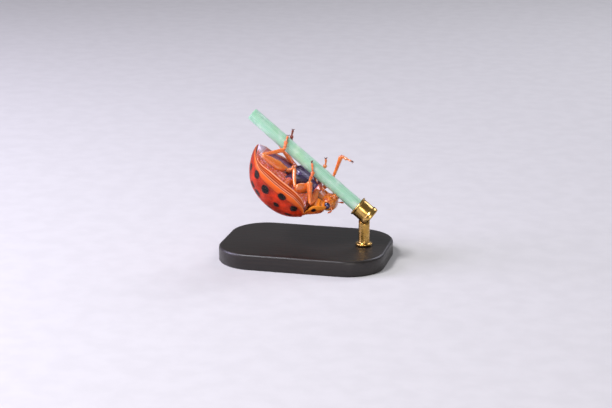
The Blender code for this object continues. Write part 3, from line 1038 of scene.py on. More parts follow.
# Claws: hard dark red-brown horn, almost black at the root and clear at the point.
CLAW_HORN = Chitin(
    "claw_horn", "#6A1812", ((0.05, 0.30, 0.70, 1.0, "#3C100C"),),
    (("tip", 0.45, 1.0, 0.8, "#C8785A"),), rough=(0.14, 0.26), gloss=(0.4, 0.06),
    swell=(0.03, 0.003), pits=(0.03, 0.30, 0.001))

# Down on the body, head and legs: golden threads, brown where they grow from black skin.
GOLDEN_DOWN = Chitin(
    "golden_down", "#FFD294", ((0.25, 0.35, 0.65, 1.0, "#F0983C"),),
    (("black", 0.3, 0.8, 1.0, "#4A3440"),), rough=(0.35, 0.50), gloss=(0.0, 0.3),
    swell=(0.05, 0.001), pits=(0.05, 0.30, 0.0005))


@dataclass(frozen=True)
class FacetEye:
    """Compound eye: black lenses side by side, each a small mirror.

    The facets are about 0.02 mm apart, so the gloss is one soft blue-violet highlight.
    """

    name: str = "compound_eye"
    facet: float = 0.022

    def make(self) -> Material:
        """Build the material; a facet is one cell of a nearly even pattern.

        Returns:
            The material.
        """
        w = Wiring(self.name)
        gap = w.add("TexVoronoi", {"Vector": w.where, "Scale": 1.0 / self.facet,
                                   "Randomness": 0.25}, "Distance")
        dome = w.add("MapRange", {0: gap, 1: 0.15, 2: 0.62, 3: 1.0, 4: 0.0},
                     interpolation_type="SMOOTHSTEP")
        w.surface({"Base Color": w.paint("#05040A", (dome, "#15131F")),
                   "Roughness": w.mottle(0.05, 0.2, 0.8, 0.36, 0.46), "IOR": 1.9,
                   "Coat Weight": 1.0, "Coat Roughness": 0.24, "Coat IOR": 2.0,
                   "Coat Tint": linear("#9C92FF"), "Specular Tint": linear("#8F86FF")})
        w.relief((dome, 0.003))
        return w.material


@dataclass(frozen=True)
class GrassStem:
    """Living grass stem: waxy pale green, fine lengthwise veins with rows of pale pores.

    The wax scatters light, so the highlight is broad and whitish. The pores are 0.02 mm
    wide in life, and are drawn up to 0.05 mm long in two rows to a vein, so that they show.
    """

    form: StemForm
    name: str = "grass_stem_skin"

    def make(self) -> Material:
        """Build the material; the marks round and along are mm over the stem's skin.

        Returns:
            The material.
        """
        w = Wiring(self.name)
        girth = 2.0 * math.pi * self.form.radius
        around, along = (w.add("Attribute", {}, "Fac", attribute_name=mark)
                         for mark in ("round", "along"))
        flat = w.add("CombineXYZ", {0: around, 1: along})
        wave = w.add("Math", {0: around, 1: 2.0 * math.pi * self.form.veins / girth},
                     operation="MULTIPLY")
        crest = w.add("Math", {0: wave}, operation="SINE")
        vein = w.add("MapRange", {0: crest, 1: -0.6, 2: 0.9, 3: 0.0, 4: 0.5},
                     interpolation_type="SMOOTHSTEP")
        cells = w.add("VectorMath", {0: flat, 1: (2.0 * self.form.veins / girth, 1.0 / 0.085, 0.0)},
                      operation="MULTIPLY")
        gap = w.add("TexVoronoi", {"Vector": cells, "Scale": 1.0, "Randomness": 0.6},
                    "Distance", voronoi_dimensions="2D")
        pore = w.add("MapRange", {0: gap, 1: 0.10, 2: 0.30, 3: 1.0, 4: 0.0},
                     interpolation_type="SMOOTHSTEP")
        patch = w.mottle(0.5, 0.45, 0.65, 0.1, 0.75)
        shown = w.add("Math", {0: pore, 1: patch}, operation="MULTIPLY")
        long = w.add("VectorMath", {0: flat, 1: (9.0, 0.7, 0.0)}, operation="MULTIPLY")
        streak = w.mottle(1.0, 0.35, 0.70, detail=4.0, where=long)
        colour = w.paint("#9AD2B2", (streak, "#B8DEC6"), (vein, "#82BC9A"),
                         (w.mottle(0.7, 0.50, 0.72, 0.0, 0.7), "#D4E8DA"),
                         (shown, "#F0F8F0"), (w.mottle(1.6, 0.55, 0.75, 0.0, 0.4), "#A6D69C"))
        w.surface({"Base Color": colour, "Roughness": w.mottle(0.12, 0.2, 0.8, 0.36, 0.52),
                   "IOR": 1.45, "Coat Weight": 0.25, "Coat Roughness": 0.3,
                   "Subsurface Weight": 0.2, "Subsurface Radius": (0.25, 0.6, 0.2),
                   "Subsurface Scale": 0.25 * MM})
        w.relief((streak, 0.006), (w.mottle(0.08, 0.0, 1.0), 0.006))
        return w.material


@dataclass(frozen=True)
class CutPith:
    """The stem's cut face: a green rind round moist white pith with open cells."""

    form: StemForm
    name: str = "cut_pith"

    def make(self) -> Material:
        """Build the material; the mark depth is the distance from the axis in mm.

        Returns:
            The material.
        """
        w = Wiring(self.name)
        gap = w.add("TexVoronoi", {"Vector": w.where, "Scale": 1.0 / 0.06}, "Distance")
        wall = w.add("MapRange", {0: gap, 1: 0.2, 2: 0.55}, interpolation_type="SMOOTHSTEP")
        rind = w.held("depth", self.form.radius * 0.78, self.form.radius * 0.92)
        w.surface({"Base Color": w.paint("#DCEBC8", (wall, "#B4D29A"), (rind, "#4F9A5C")),
                   "Roughness": w.mottle(0.08, 0.2, 0.8, 0.42, 0.62), "IOR": 1.4})
        w.relief((wall, 0.012))
        return w.material


@dataclass(frozen=True)
class TurnedBrass:
    """Turned, lacquered brass: fine tool rings that stretch the highlight round the part."""

    name: str = "turned_brass"

    def make(self) -> Material:
        """Build the material; the mark turning is mm along the lathe's axis.

        Returns:
            The material.
        """
        w = Wiring(self.name)
        turning = w.add("Attribute", {}, "Fac", attribute_name="turning")
        line = w.add("CombineXYZ", {0: turning})
        ring = w.mottle(1.0 / 22.0, 0.25, 0.75, where=line)
        rough = w.mottle(1.0 / 22.0, 0.25, 0.75, 0.18, 0.32, where=line)
        w.surface({"Base Color": w.paint("#D6AE62", (w.mottle(0.5, 0.3, 0.7), "#BE9448")),
                   "Metallic": 1.0, "Roughness": rough, "Coat Weight": 0.25,
                   "Coat Roughness": 0.12})
        w.relief((ring, 0.003))
        return w.material


@dataclass(frozen=True)
class EbonisedMaple:
    """Ebonised maple under oil: near-black, close fine grain, soft satin gloss.

    Maple's pores are 0.05 mm wide; the grain lines are drawn 0.15 mm apart so they show.
    """

    name: str = "ebonised_maple"

    def make(self) -> Material:
        """Build the material; the grain runs along the plate's length.

        Returns:
            The material.
        """
        w = Wiring(self.name)
        long = w.add("VectorMath", {0: w.where, 1: (0.35, 6.5, 6.5)}, operation="MULTIPLY")
        grain = w.mottle(1.0, 0.30, 0.75, detail=4.0, where=long)
        fine = w.add("VectorMath", {0: w.where, 1: (1.6, 14.0, 14.0)}, operation="MULTIPLY")
        pore = w.mottle(1.0, 0.60, 0.72, detail=2.0, where=fine)
        level = w.mottle(1.0, 0.60, 0.72, 1.0, 0.0, 2.0, fine)
        w.surface({"Base Color": w.paint("#191412", (grain, "#251E1A"), (pore, "#120E0C")),
                   "Roughness": w.mottle(1.0, 0.2, 0.8, 0.36, 0.50, 4.0, long), "IOR": 1.5,
                   "Coat Weight": 0.15, "Coat Roughness": 0.3})
        w.relief((grain, 0.004), (level, 0.003))
        return w.material


@dataclass(frozen=True)
class FloorCard:
    """Matt pale card for the studio floor, with a faint tooth."""

    name: str = "floor_card"

    def make(self) -> Material:
        """Build the material; the tooth is 1.6 mm across, in metres on the floor.

        Returns:
            The material.
        """
        w = Wiring(self.name)
        place = w.add("TexCoord", {}, "Object")
        tooth = w.mottle(1.6 * MM, 0.3, 0.7, where=place)
        w.surface({"Base Color": w.paint("#CECDCA", (tooth, "#CAC9C6")), "Roughness": 0.85})
        return w.material


# ------------------------------------------------------------------ shared by the makers

@dataclass(frozen=True)
class Bench:
    """What the makers share: axes, legs, random numbers and three finishes."""

    axes: InsectAxes
    legs: tuple["Leg", ...]
    rng: np.random.Generator
    plate: Material
    limb_skin: Material
    down: Material


def hollows(points: Array, legs: tuple["Leg", ...], depth: float = 0.42,
            clear: float = 0.05) -> Array:
    """How far the underside gives way under each thigh.

    Seen from below, the nearest place on the line from hip to knee gives a height; the skin
    rises to just above the thigh there, fading out past the thigh's width.

    Args:
        points: the skin, with shape (rows, columns, 3).
        legs: the legs.
        depth: the deepest hollow, in millimetres.
        clear: the room left over the thigh, in millimetres.

    Returns:
        A rise in millimetres at each point.
    """
    rise = np.zeros(points.shape[:2])
    for leg in legs:
        hip, knee = np.array(leg.hip), np.array(leg.knee)
        way = knee - hip
        along = ((points[..., :2] - hip[:2]) @ way[:2]) / (way[:2] @ way[:2])
        nearest = hip + np.clip(along, -0.15, 1.0)[..., None] * way
        apart = np.linalg.norm(points[..., :2] - nearest[..., :2], axis=-1)
        wanted = nearest[..., 2] + leg.thigh * FLATNESS + clear - points[..., 2]
        near = smooth(leg.thigh * 1.35, leg.thigh * 0.75, apart)
        rise = np.maximum(rise, np.clip(wanted, 0.0, depth) * near)
    return rise


# ------------------------------------------------------------------ wing cases

@dataclass(frozen=True)
class WingCases:
    """Both wing cases: a high dome, a flared rim with a bead, and a turned-in edge.

    Sizes are in millimetres along the insect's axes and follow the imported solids, less the
    depth of the coat.
    """

    rear: float = -3.45
    front: float = 1.95
    half_width: float = 2.80
    height: float = 2.38
    widest_at: float = 0.0
    highest_at: float = -0.10
    width_reach: float = 2.60
    height_reach: float = 2.55
    drop: float = 0.50
    drop_start: float = -1.90
    rise: float = 0.42
    rise_start: float = 0.70
    shoulder: float = 0.22
    shoulder_start: float = 1.60
    coat_depth: float = 0.05
    bead: float = 0.05
    flare: float = 0.10
    turned_in: float = 0.58
    turned_down: float = 0.27
    wall: float = 0.03
    core: Point = (1.95, 0.9, 0.75)
    lip_steps: Steps = ((0.005, 0.012), (0.015, 0.015), (0.030, 0.002), (0.045, -0.05),
                        (0.07, -0.13), (0.55, -0.15))
    hairs: int = 8500
    colours: tuple[str, str, str, str] = ("#DA340A", "#981806", "#E5681E", "#08050A")

    @property
    def bare_share(self) -> float:
        """How much of the full size is left when the coat's depth is taken off."""
        return 1.0 - self.coat_depth / self.half_width

    def width(self, x: Array) -> Array:
        """Half width in plan: two quarter superellipses that meet at the widest place."""
        return self.half_width * two_quarters(x, self.widest_at, self.rear, self.width_reach,
                                              (2.2, 0.526, 2.6, 0.435))

    def _dip(self, x: Array) -> Array:
        """How far the tail drops: the square of the way back from drop_start."""
        share = np.clip((self.drop_start - x) / (self.drop_start - self.rear), 0.0, 1.0)
        return self.drop * share ** 2

    def rim(self, x: Array) -> Array:
        """Height of the rim: level, rising at the shoulder and dropping at the tail.

        Args:
            x: places along the body.

        Returns:
            Heights in millimetres.
        """
        lift, corner = (np.clip((x - start) / (self.front - start), 0.0, 1.0)
                        for start in (self.rise_start, self.shoulder_start))
        return self.rise * lift ** 1.5 + self.shoulder * corner ** 2 - self._dip(x)

    def back(self, x: Array) -> Array:
        """Height of the back along the middle: two quarter superellipses, less the dip."""
        return self.height * two_quarters(x, self.highest_at, self.rear, self.height_reach,
                                          (2.1, 0.571, 2.0, 0.526)) - self._dip(x)

    def turned_share(self, x: Array) -> Array:
        """How wide the turned-in edge is: narrow at the tail, rounded off at the shoulder.

        Args:
            x: places along the body.

        Returns:
            Shares of the full width.
        """
        full = 0.16 + 0.84 * smooth(self.rear + 0.25, self.rear + 2.1, x)
        closing = np.clip((x - 0.90) / 0.84, 0.0, 1.0) ** 2.5
        return full * (1.0 - 0.20 * smooth(0.2, 1.1, x)) * np.maximum(np.sqrt(1.0 - closing), 0.06)

    def dome(self, x: Array, turn: Array) -> Array:
        """Points on the dome, an oval arc from the rim at turn 0 to the middle at pi / 2.

        Args:
            x: places along the body.
            turn: angles up the arc.

        Returns:
            Points with x, y and z last, on the left side.
        """
        wide = self.width(x) * self.bare_share - self.flare * 0.5 * smooth(self.rear, self.rear + 1.0, x)
        wide = np.maximum(wide, 0.0)
        low = self.rim(x)
        high = self.back(x) * self.bare_share
        flare = self.flare * hump(turn, 0.0, 0.20) * smooth(self.rear, self.rear + 1.0, x)
        y = GAP / 2.0 + (wide - GAP / 2.0) * np.cos(turn) ** 0.95 + flare
        y = np.maximum(y, GAP / 2.0)
        z = low + (high - low) * np.clip(np.sin(turn), 0.0, 1.0) ** 0.95
        shoulder = 0.07 * hump(x, 1.25, 0.45) * hump(turn, 0.42, 0.26)
        trough = -0.035 * hump(turn, 0.30, 0.09) * smooth(self.rear, self.rear + 0.8, x)
        swell = shoulder + trough
        y = y + swell * np.cos(turn)
        z = z + swell * np.sin(turn)
        seam = -0.035 * hump(y, GAP / 2.0, 0.045)
        return grid_of(x, y, z + seam)

    def sheet(self) -> tuple[Array, dict[str, Array]]:
        """The left wing case's outer sheet: dome, bead and turned-in edge.

        Returns:
            The grid, from the tail forwards and from the middle line outwards, and its
            values: edge on the orange rim, raised on the turned-in edge's crests as painted highlight;
            line, painted shade in its grooves and under the bead; ridge, painted highlight on its
            crests.
        """
        x = cosine_steps(self.rear, self.front, 150)[2:, None]
        turn = np.concatenate([np.linspace(math.pi / 2.0, 0.55, 46),
                               np.linspace(0.53, 0.0, 34)])[None]
        dome = self.dome(x, turn)
        rim = dome[:, -1:]
        taper = self.turned_share(x)
        curl = np.linspace(0.2, 2.0, 9)[None]
        roll = self.bead * (0.25 + 0.75 * smooth(self.rear, self.rear + 0.9, x))
        bead = grid_of(rim[..., 0], rim[..., 1] - roll * (1.0 - np.cos(curl)),
                       rim[..., 2] - roll * np.sin(curl))
        start = bead[:, -1:]
        q = np.linspace(0.05, 1.0, 24)[None]
        hollow = 0.05 * np.sin(math.pi * q) - 0.040 * hump(q, 0.92, 0.06)
        ridge = -0.024 * hump(q, 0.34, 0.05) - 0.014 * hump(q, 0.60, 0.05)
        inward = np.minimum(self.turned_in * taper, np.maximum(start[..., 1] - 0.05, 0.01))
        edge = grid_of(start[..., 0], start[..., 1] - inward * q,
                       start[..., 2] - self.turned_down * taper * q ** 1.2
                       + (hollow + ridge) * taper)
        points = np.hstack([dome, bead, edge])
        points = np.concatenate([points, lip(points[-1], self.core, self.front, self.lip_steps)])
        rows = len(points)
        # Painted light on the rim: line is painted shade, ridge and the raised edge on the crests are
        # painted highlight.
        return points, {
            "edge": side_by_side(rows, 0.75 * smooth(0.26, 0.04, turn), np.ones(curl.shape),
                                 0.50 + 0.45 * hump(q, 0.92, 0.09) + 0.25 * hump(q, 0.34, 0.06)),
            "line": side_by_side(rows, 0.7 * hump(turn, 0.16, 0.022), 0.8 * hump(curl, 1.95, 0.35),
                                 0.9 * hump(q, 0.04, 0.07) + 0.8 * hump(q, 0.50, 0.045)
                                 + 0.8 * hump(q, 0.77, 0.040)),
            "ridge": side_by_side(rows, 0.0 * turn, 0.65 * hump(curl, 0.95, 0.40),
                                  0.9 * hump(q, 0.92, 0.05) + 0.6 * hump(q, 0.30, 0.06)
                                  + 0.4 * hump(q, 0.63, 0.04))}

    def spots(self) -> tuple[Spot, ...]:
        """The 14 spots of one wing case, in five rows from shoulder to tail.

        Returns:
            Each spot's place on the dome and its radius, in millimetres.
        """
        rows = (
            ((1.27, 15.0, 0.27), (1.16, 43.0, 0.25), (1.32, 73.0, 0.27)),
            ((0.14, 9.0, 0.28), (0.12, 31.0, 0.21), (-0.20, 59.0, 0.28), (0.30, 82.0, 0.25)),
            ((-1.09, 20.0, 0.33), (-1.40, 47.0, 0.30), (-0.98, 79.0, 0.27)),
            ((-2.16, 13.0, 0.30), (-2.00, 46.0, 0.27), (-2.22, 80.0, 0.24)),
            ((-2.84, 33.0, 0.26),),
        )
        return tuple((*map(float, self.dome(np.array(x), np.array(math.radians(angle)))), radius)
                     for row in rows for x, angle, radius in row)

    def build(self, bench: Bench) -> None:
        """Make both wing cases and their coats.

        Args:
            bench: what the makers share.
        """
        markings = Markings(*self.colours, self.spots())
        shell = SpottedShell("wing_case_chitin", markings).make()
        down = SpottedDown("wing_case_down", markings).make()
        sheet, marks = self.sheet()
        for side in Side:
            points = sheet * np.array([1.0, side.value, 1.0])
            inside = np.array([-0.6, side.value * 1.0, 0.6])
            tip = np.array([self.rear, side.value * GAP / 2.0, float(self.rim(self.rear))])
            piece = Piece("wing_case_" + side.word)
            piece.shell(points, self.wall, inside, tip=tip, **marks)
            piece.build(bench.axes, shell, "wing_case", "elytron_" + side.word)
            # The coat leaves out the lip, the bead and the turned-in edge.
            roots = scatter(points[3:-6, 1:77], self.hairs, bench.rng, inside, (-1.0, 0.0, -0.35))
            Hair(length=0.100).grow("wing_coat_" + side.word, [roots], bench, down, "wing_case")


# ------------------------------------------------------------------ neck shield, scutellum

@dataclass(frozen=True)
class NeckShield:
    """The pronotum: a shield that slopes down to the head, with folded cheeks beneath.

    Its side edge falls steeply beside the wing cases and runs level towards the eyes.
    """

    back: float = 1.985
    front: float = 2.80
    packed_back: float = 1.99
    packed_length: float = 1.01
    corner: float = 0.11
    half_width: float = 1.92
    rim_height: float = 0.20
    rim_fall: float = 0.52
    corner_lift: float = 0.36
    wall: float = 0.03
    bead: float = 0.045
    cheek_in: float = 0.84
    cheek_floor: float = -0.66
    cheek_rise: float = 0.20
    bead_steps: int = 7
    cheek_steps: int = 34
    core: Point = (2.5, 0.0, 0.1)
    hind_lip: Steps = ((0.50, -0.07), (0.30, -0.06), (0.14, -0.04), (0.07, -0.02), (0.02, 0.002))
    fore_lip: Steps = ((0.03, 0.020), (0.09, 0.015), (0.16, -0.020), (0.30, -0.08), (0.50, -0.14))
    hairs: int = 1800
    colours: tuple[str, str, str, str] = ("#EC701A", "#BC400C", "#FF9C30", "#120A0A")

    def share_of(self, x: Array) -> Array:
        """0 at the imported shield's back edge and 1 at its front edge."""
        return np.clip((x - self.packed_back) / self.packed_length, 0.0, 1.0)

    def width(self, u: Array) -> Array:
        """Half width at a share of the shield's length: a superellipse cut short."""
        corner = 1.0 - 0.05 * hump(u, 0.0, 0.10)
        return self.half_width * superarc(u * 0.78, 2.2, 0.60) * corner

    def levels(self, x: Array) -> tuple[Array, Array]:
        """Heights of the side edge and of the middle at a place along the body.

        Args:
            x: places along the body.

        Returns:
            The edge's heights and the middle's.
        """
        share = self.share_of(x)
        corner = np.clip(1.0 - share / 0.16, 0.0, 1.0) ** 2
        low = self.rim_height + self.corner_lift * corner
        return low - self.rim_fall * (1.0 - (1.0 - share) ** 3), 1.22 - 0.80 * share

    def arch(self, x: Array, t: Array) -> Array:
        """Height of the shield at t across: low + (high - low) * (1 - t^2)^0.425."""
        low, high = self.levels(x)
        return low + (high - low) * np.clip(1.0 - t ** 2, 0.0, 1.0) ** 0.425

    @staticmethod
    def _folds(u: Array, q: Array) -> Array:
        """The cheek's folds: sin(2 pi (2.7 u + q)), slanting inwards, and a finer wave."""
        return np.sin(2.0 * math.pi * (2.7 * u + q)) + 0.3 * np.sin(
            2.0 * math.pi * (6.1 * u + 1.6 * q) + 1.0)

    def _side(self, rim: Array, u: Array, sign: float) -> Array:
        """Bead and cheek on one side, from the rim inwards.

        The bead is an arc. The cheek falls as q^1.5 to the throat's level, with a hollow
        sin(pi q) and its folds, 0.05 high. Its inner edge turns up into the throat.

        Args:
            rim: the side edge, with shape (rows, 1, 3).
            u: shares of the shield's length.
            sign: the side, 1 for left.

        Returns:
            The grid, with the rim's side first.
        """
        curl = np.linspace(0.2, 1.9, self.bead_steps)[None]
        bead = grid_of(rim[..., 0], rim[..., 1] - sign * self.bead * (1.0 - np.cos(curl)),
                       rim[..., 2] - self.bead * np.sin(curl))
        start = bead[:, -1:]
        q = np.linspace(0.04, 1.0, self.cheek_steps)[None]
        fall = np.maximum(start[..., 2] - self.cheek_floor - self.cheek_rise * u, 0.1)
        reach = self.cheek_in * (1.0 - 0.30 * smooth(0.55, 1.0, u))
        cheek = grid_of(start[..., 0], start[..., 1] - sign * reach * q,
                        start[..., 2] - fall * q ** 1.5 + 0.28 * smooth(0.90, 1.0, q) ** 2
                        + (0.10 + 0.05 * self._folds(u, q)) * np.sin(math.pi * q))
        return np.hstack([bead, cheek])

    def sheet(self, legs: tuple["Leg", ...]) -> tuple[Array, dict[str, Array]]:
        """The shield's outer sheet from cheek to cheek over the back.

        Args:
            legs: those whose thighs press into the cheeks.

        Returns:
            The grid, from the back edge forwards, and its values edge, line and ridge: line is painted
            shade in the grooves by the bead and the margin, ridge painted highlight on the cheek's fold
            crests.
        """
        u = cosine_steps(0.0, 1.0, 60)[:, None]
        t = np.cos(np.linspace(0.0, math.pi, 91))[None]
        across = np.abs(t)
        hind = self.back - 0.012 * (1.0 - t ** 2)
        fore = self.front + self.corner * smooth(0.45, 1.0, across)
        x = hind + (fore - hind) * u
        dome = grid_of(x, t * self.width(u), self.arch(x, t) - 0.025 * hump(across, 0.95, 0.025))
        dome[..., 2] += 0.012 * ripple(dome, 0.8)
        points = np.hstack([self._side(dome[:, :1], u, 1.0)[:, ::-1], dome,
                            self._side(dome[:, -1:], u, -1.0)])
        q = np.linspace(0.04, 1.0, self.cheek_steps)[None]
        beads = np.ones((1, self.bead_steps))

        def strip(cheek: Array, bead: float, middle: Array, rows: int = 1) -> Array:
            """One value from cheek to cheek, the same on both sides."""
            return side_by_side(rows, cheek[:, ::-1], bead * beads, middle, bead * beads, cheek)

        points[..., 2] += hollows(points, legs) * strip(smooth(0.05, 0.35, q), 0.0, 0.0 * t)
        points = np.concatenate([lip(points[0], self.core, points[0, :, 0], self.hind_lip), points,
                                 lip(points[-1], self.core, points[-1, :, 0], self.fore_lip)])
        rows = len(points)
        # Painted highlight: the crests of the cheek's folds are painted pale.
        crest = 0.75 * smooth(0.35, 1.15, self._folds(u, q)) * np.sin(math.pi * q)
        crest = crest[np.clip(np.arange(rows) - len(self.hind_lip), 0, len(u) - 1)]
        return points, {
            "edge": strip(0.55 + 0.30 * hump(q, 0.05, 0.12), 1.0, smooth(0.93, 0.99, across), rows),
            "line": strip(0.8 * hump(q, 0.05, 0.05), 0.0, 0.5 * hump(across, 0.95, 0.02), rows),
            "ridge": strip(crest, 0.0, 0.0 * t, rows)}

    def spots(self) -> tuple[Spot, ...]:
        """The shield's dark marks: two in the middle and five to each side.

        Returns:
            Each mark's place and radius, in millimetres.
        """
        marks = ((2.58, 0.0, 0.20), (2.20, 0.0, 0.22), (2.44, 0.42, 0.19), (2.16, 0.58, 0.15),
                 (2.36, 0.968, 0.19), (2.60, 0.76, 0.13), (2.76, 0.93, 0.10))
        spots = []
        for x, t, radius in marks:
            wide = float(self.width(np.array((x - self.back) / (self.front - self.back))))
            spots.append((x, t * wide, float(self.arch(np.array(x), np.array(t))), radius))
        return tuple(spots)

    def build(self, bench: Bench) -> None:
        """Make the shield and its coat.

        Args:
            bench: what the makers share.
        """
        markings = Markings(*self.colours, self.spots())
        points, marks = self.sheet(bench.legs)
        inside = np.array([2.4, 0.0, 0.1])
        piece = Piece("neck_shield")
        piece.shell(points, self.wall, inside, **marks)
        piece.build(bench.axes, SpottedShell("neck_shield_chitin", markings).make(),
                    "body_plate", "pronotum")
        # The coat leaves out the lips, the beads and the cheeks.
        roots = scatter(points[6:-6, 44:-44], self.hairs, bench.rng, inside, (0.6, 0.0, -0.8))
        Hair().grow("neck_coat", [roots], bench,
                    SpottedDown("neck_shield_down", markings).make(), "body_plate")


@dataclass(frozen=True)
class Scutellum:
    """The small three-cornered plate where the wing cases meet the neck shield."""

    length: float = 0.46
    half_width: float = 0.25
    wall: float = 0.05
    crown: float = 0.022
    burnt: float = 0.45

    def build(self, bench: Bench, wings: WingCases) -> None:
        """Make the plate; it follows the wing cases' back, a hair above it.

        Args:
            bench: what the makers share.
            wings: the wing cases that it lies between.
        """
        u = shares(22)
        t = np.linspace(-1.0, 1.0, 25)[None]
        x = wings.front - self.length * (1.0 - u)
        y = t * self.half_width * u ** 0.9
        high = wings.back(x) * wings.bare_share
        z = high - 0.10 * np.abs(y) ** 1.8 + self.crown * (1.0 - t ** 2) * np.sin(math.pi * u ** 0.7)
        points = grid_of(x, y, z + 0.006)
        rear = wings.front - self.length
        tip = np.array([rear - 0.004, 0.0, float(wings.back(np.array(rear))) * wings.bare_share])
        piece = Piece("scutellum_plate")
        piece.shell(points[1:], self.wall, np.array([1.6, 0.0, 0.2]), tip=tip,
                    shade=np.full(points[1:, :, 0].shape, self.burnt))
        piece.build(bench.axes, bench.plate, "body_plate", "scutellum")


# ------------------------------------------------------------------ underside

@dataclass(frozen=True)
class Underside:
    """One skin for belly, breast and throat, with its plates, seams and hollows."""

    tail: float = -3.37
    waist: float = -0.42
    neck: float = 1.95
    throat: float = 2.70
    edge_gap: float = 0.10
    breast_depth: float = 0.96
    belly_depth: float = 0.64
    tail_depth: float = 0.24
    throat_floor: float = -0.71
    throat_rise: float = 0.24
    seams: tuple[float, ...] = (-1.12, -1.66, -2.12, -2.53, -2.90)
    hairs: int = 3200

    def width(self, x: Array, wings: WingCases) -> Array:
        """Half width: up to the wing cases' turned-in edge, then narrow at the throat.

        Args:
            x: places along the body.
            wings: the wing cases that it lies in.

        Returns:
            Half widths in millimetres.
        """
        inset = self.edge_gap + wings.turned_in * wings.turned_share(x)
        round_off = np.sqrt(np.clip((x - self.tail) / 0.34, 0.0, 1.0))
        body = np.maximum(wings.width(x) - inset, 0.22) * round_off
        throat = 1.10 - 0.42 * np.clip((x - self.neck) / 0.75, 0.0, 1.0) ** 2
        return body + (throat - body) * smooth(self.neck - 0.05, self.neck + 0.10, x)

    def floor(self, x: Array, wings: WingCases) -> Array:
        """Height of the underside along its middle line, its lowest place.

        Args:
            x: places along the body.
            wings: the wing cases that it lies in.

        Returns:
            Heights in millimetres.
        """
        breast = self.breast_depth * (1.0 - 0.06 * ((x - 0.6) / 1.4) ** 2)
        share = np.clip((self.waist - x) / (self.waist - self.tail), 0.0, 1.0)
        belly = self.belly_depth + (self.tail_depth - self.belly_depth) * share ** 1.5
        body = belly + (breast - belly) * smooth(self.waist - 0.10, self.waist + 0.22, x)
        body = np.clip(wings.rim(x), -1.0, 0.0) - body
        throat = self.throat_floor + self.throat_rise * (x - self.neck)
        return body + (throat - body) * smooth(1.45, self.neck + 0.05, x)

    def _seams(self, x: Array, t: Array, side: Array) -> Array:
        """Seams between plates, 1 in the middle of each line.

        The belly's are gently bowed across; the breast has its waist, middle line, side
        plates and a cross line, and each hind hip sends an arc back over the belly.

        Args:
            x: places along the body.
            t: places across, from -1 to 1.
            side: distances from the middle line.

        Returns:
            The lines, from 0 to 1.
        """
        on_belly = smooth(self.waist + 0.02, self.waist - 0.06, x)
        lines = np.zeros(np.broadcast_shapes(x.shape, t.shape))
        for seam in self.seams:
            lines = lines + hump(x, seam - 0.08 * t ** 2, 0.022) * on_belly
        lines = lines + 0.6 * hump(np.hypot(x + 0.20, (side - 0.75) * 0.9), 0.72, 0.02) \
            * smooth(-0.5, -0.6, x)
        lines = lines + hump(x, self.waist + 0.04 * t ** 2, 0.03)
        lines = lines + hump(side, 0.0, 0.018) * smooth(-0.35, -0.1, x) * smooth(0.8, 0.5, x)
        lines = lines + 0.9 * hump(side, 1.46 - 0.16 * x, 0.028) * smooth(-0.35, -0.2, x) \
            * smooth(1.7, 1.5, x)
        lines = lines + 0.9 * hump(x, 1.42 - 0.10 * side, 0.028)
        return np.clip(lines + hump(x, self.neck, 0.05), 0.0, 1.0)

    def sheet(self, wings: WingCases, legs: tuple["Leg", ...]) -> tuple[Array, dict[str, Array]]:
        """The ventral half as a grid, with its relief.

        A section hangs from the side edges as (1 - |t|^2.4)^0.62, rounder at the throat and
        the tail. Plates overlap towards the tail, so each is a ramp that ends at its seam.

        Args:
            wings: the wing cases that it lies in.
            legs: those whose thighs press into it.

        Returns:
            The grid, from the tail forwards and from left to right, and its values black,
            groove, pale and gold.
        """
        x = cosine_steps(self.tail, self.throat, 280)[1:-1, None]
        t = np.cos(np.linspace(0.02, math.pi - 0.02, 170))[None]
        throat = smooth(self.neck - 0.02, self.neck + 0.08, x)
        hem = wings.rim(x) - wings.bead - wings.turned_down * wings.turned_share(x) + 0.05
        hem = hem + (-0.15 - hem) * throat
        low = np.minimum(self.floor(x, wings), hem - 0.05)
        tail = smooth(self.tail + 0.75, self.tail + 0.15, x)
        y = t * self.width(x, wings)
        side = np.abs(y)
        z = hem - (hem - low) * np.clip(
            1.0 - np.abs(t) ** (2.4 - 0.7 * throat - 0.4 * tail), 0.0, 1.0) ** (0.62 - 0.1 * tail)
        on_belly = smooth(self.waist + 0.02, self.waist - 0.06, x)
        for seam, last in zip(self.seams, self.seams[1:] + (self.tail,)):
            start = seam - 0.08 * t ** 2
            ramp = np.clip((start - x) / (seam - last), 0.0, 1.0)
            z = z - 0.022 * np.where(ramp < 1.0, ramp * (x < start), 0.0) * on_belly
        seams = self._seams(x, t, side)
        hind_hip = np.hypot((x + 0.36) / 0.20, (side - 0.58) / 0.52)
        mid_hip = np.hypot((x - 1.10) / 0.30, (side - 0.50) / 0.28)
        hips = hump(hind_hip, 0.0, 0.9) + hump(mid_hip, 0.0, 0.9)
        sockets = hump(hind_hip, 1.25, 0.16) + hump(mid_hip, 1.25, 0.20)
        keel = hump(side, 0.0, 0.10) * smooth(1.55, 1.75, x) * 0.05
        z = z + 0.028 * seams - 0.05 * hips + 0.03 * sockets - keel
        points = grid_of(x, y, z)
        swell = 0.022 * ripple(points, 0.55) * smooth(0.35, 0.6, np.abs(t))
        points[..., 2] += hollows(points, legs) + swell
        black = smooth(1.74, 1.54, side) * smooth(-0.60, -0.48, x) * smooth(1.62, 1.46, x)
        belly = smooth(0.60, 0.40, np.abs(t)) * smooth(self.waist, self.waist - 0.05, x) \
            * smooth(-2.9, -2.3, x)
        # Painted highlight: the tail's tip is painted near-white on both sides.
        pale = np.maximum(smooth(-2.70, -3.00, x) * smooth(0.72, 0.42, np.abs(t)),
                          smooth(-3.08, -3.22, x))
        ragged = np.clip(black + 0.9 * belly, 0.0, 1.0) + 0.22 * ripple(points, 0.45)
        gold = smooth(1.86, 2.04, x) + 0.0 * t
        # Painted shade: dark in the seams between plates and on the breast's sides under the shield's
        # cheeks.
        seam_shade = np.maximum(seams * 0.8, smooth(1.62, 1.80, x) * smooth(0.55, 0.75, np.abs(t)))
        return points, {"black": ragged, "seam_shade": seam_shade, "pale": pale, "gold": gold}

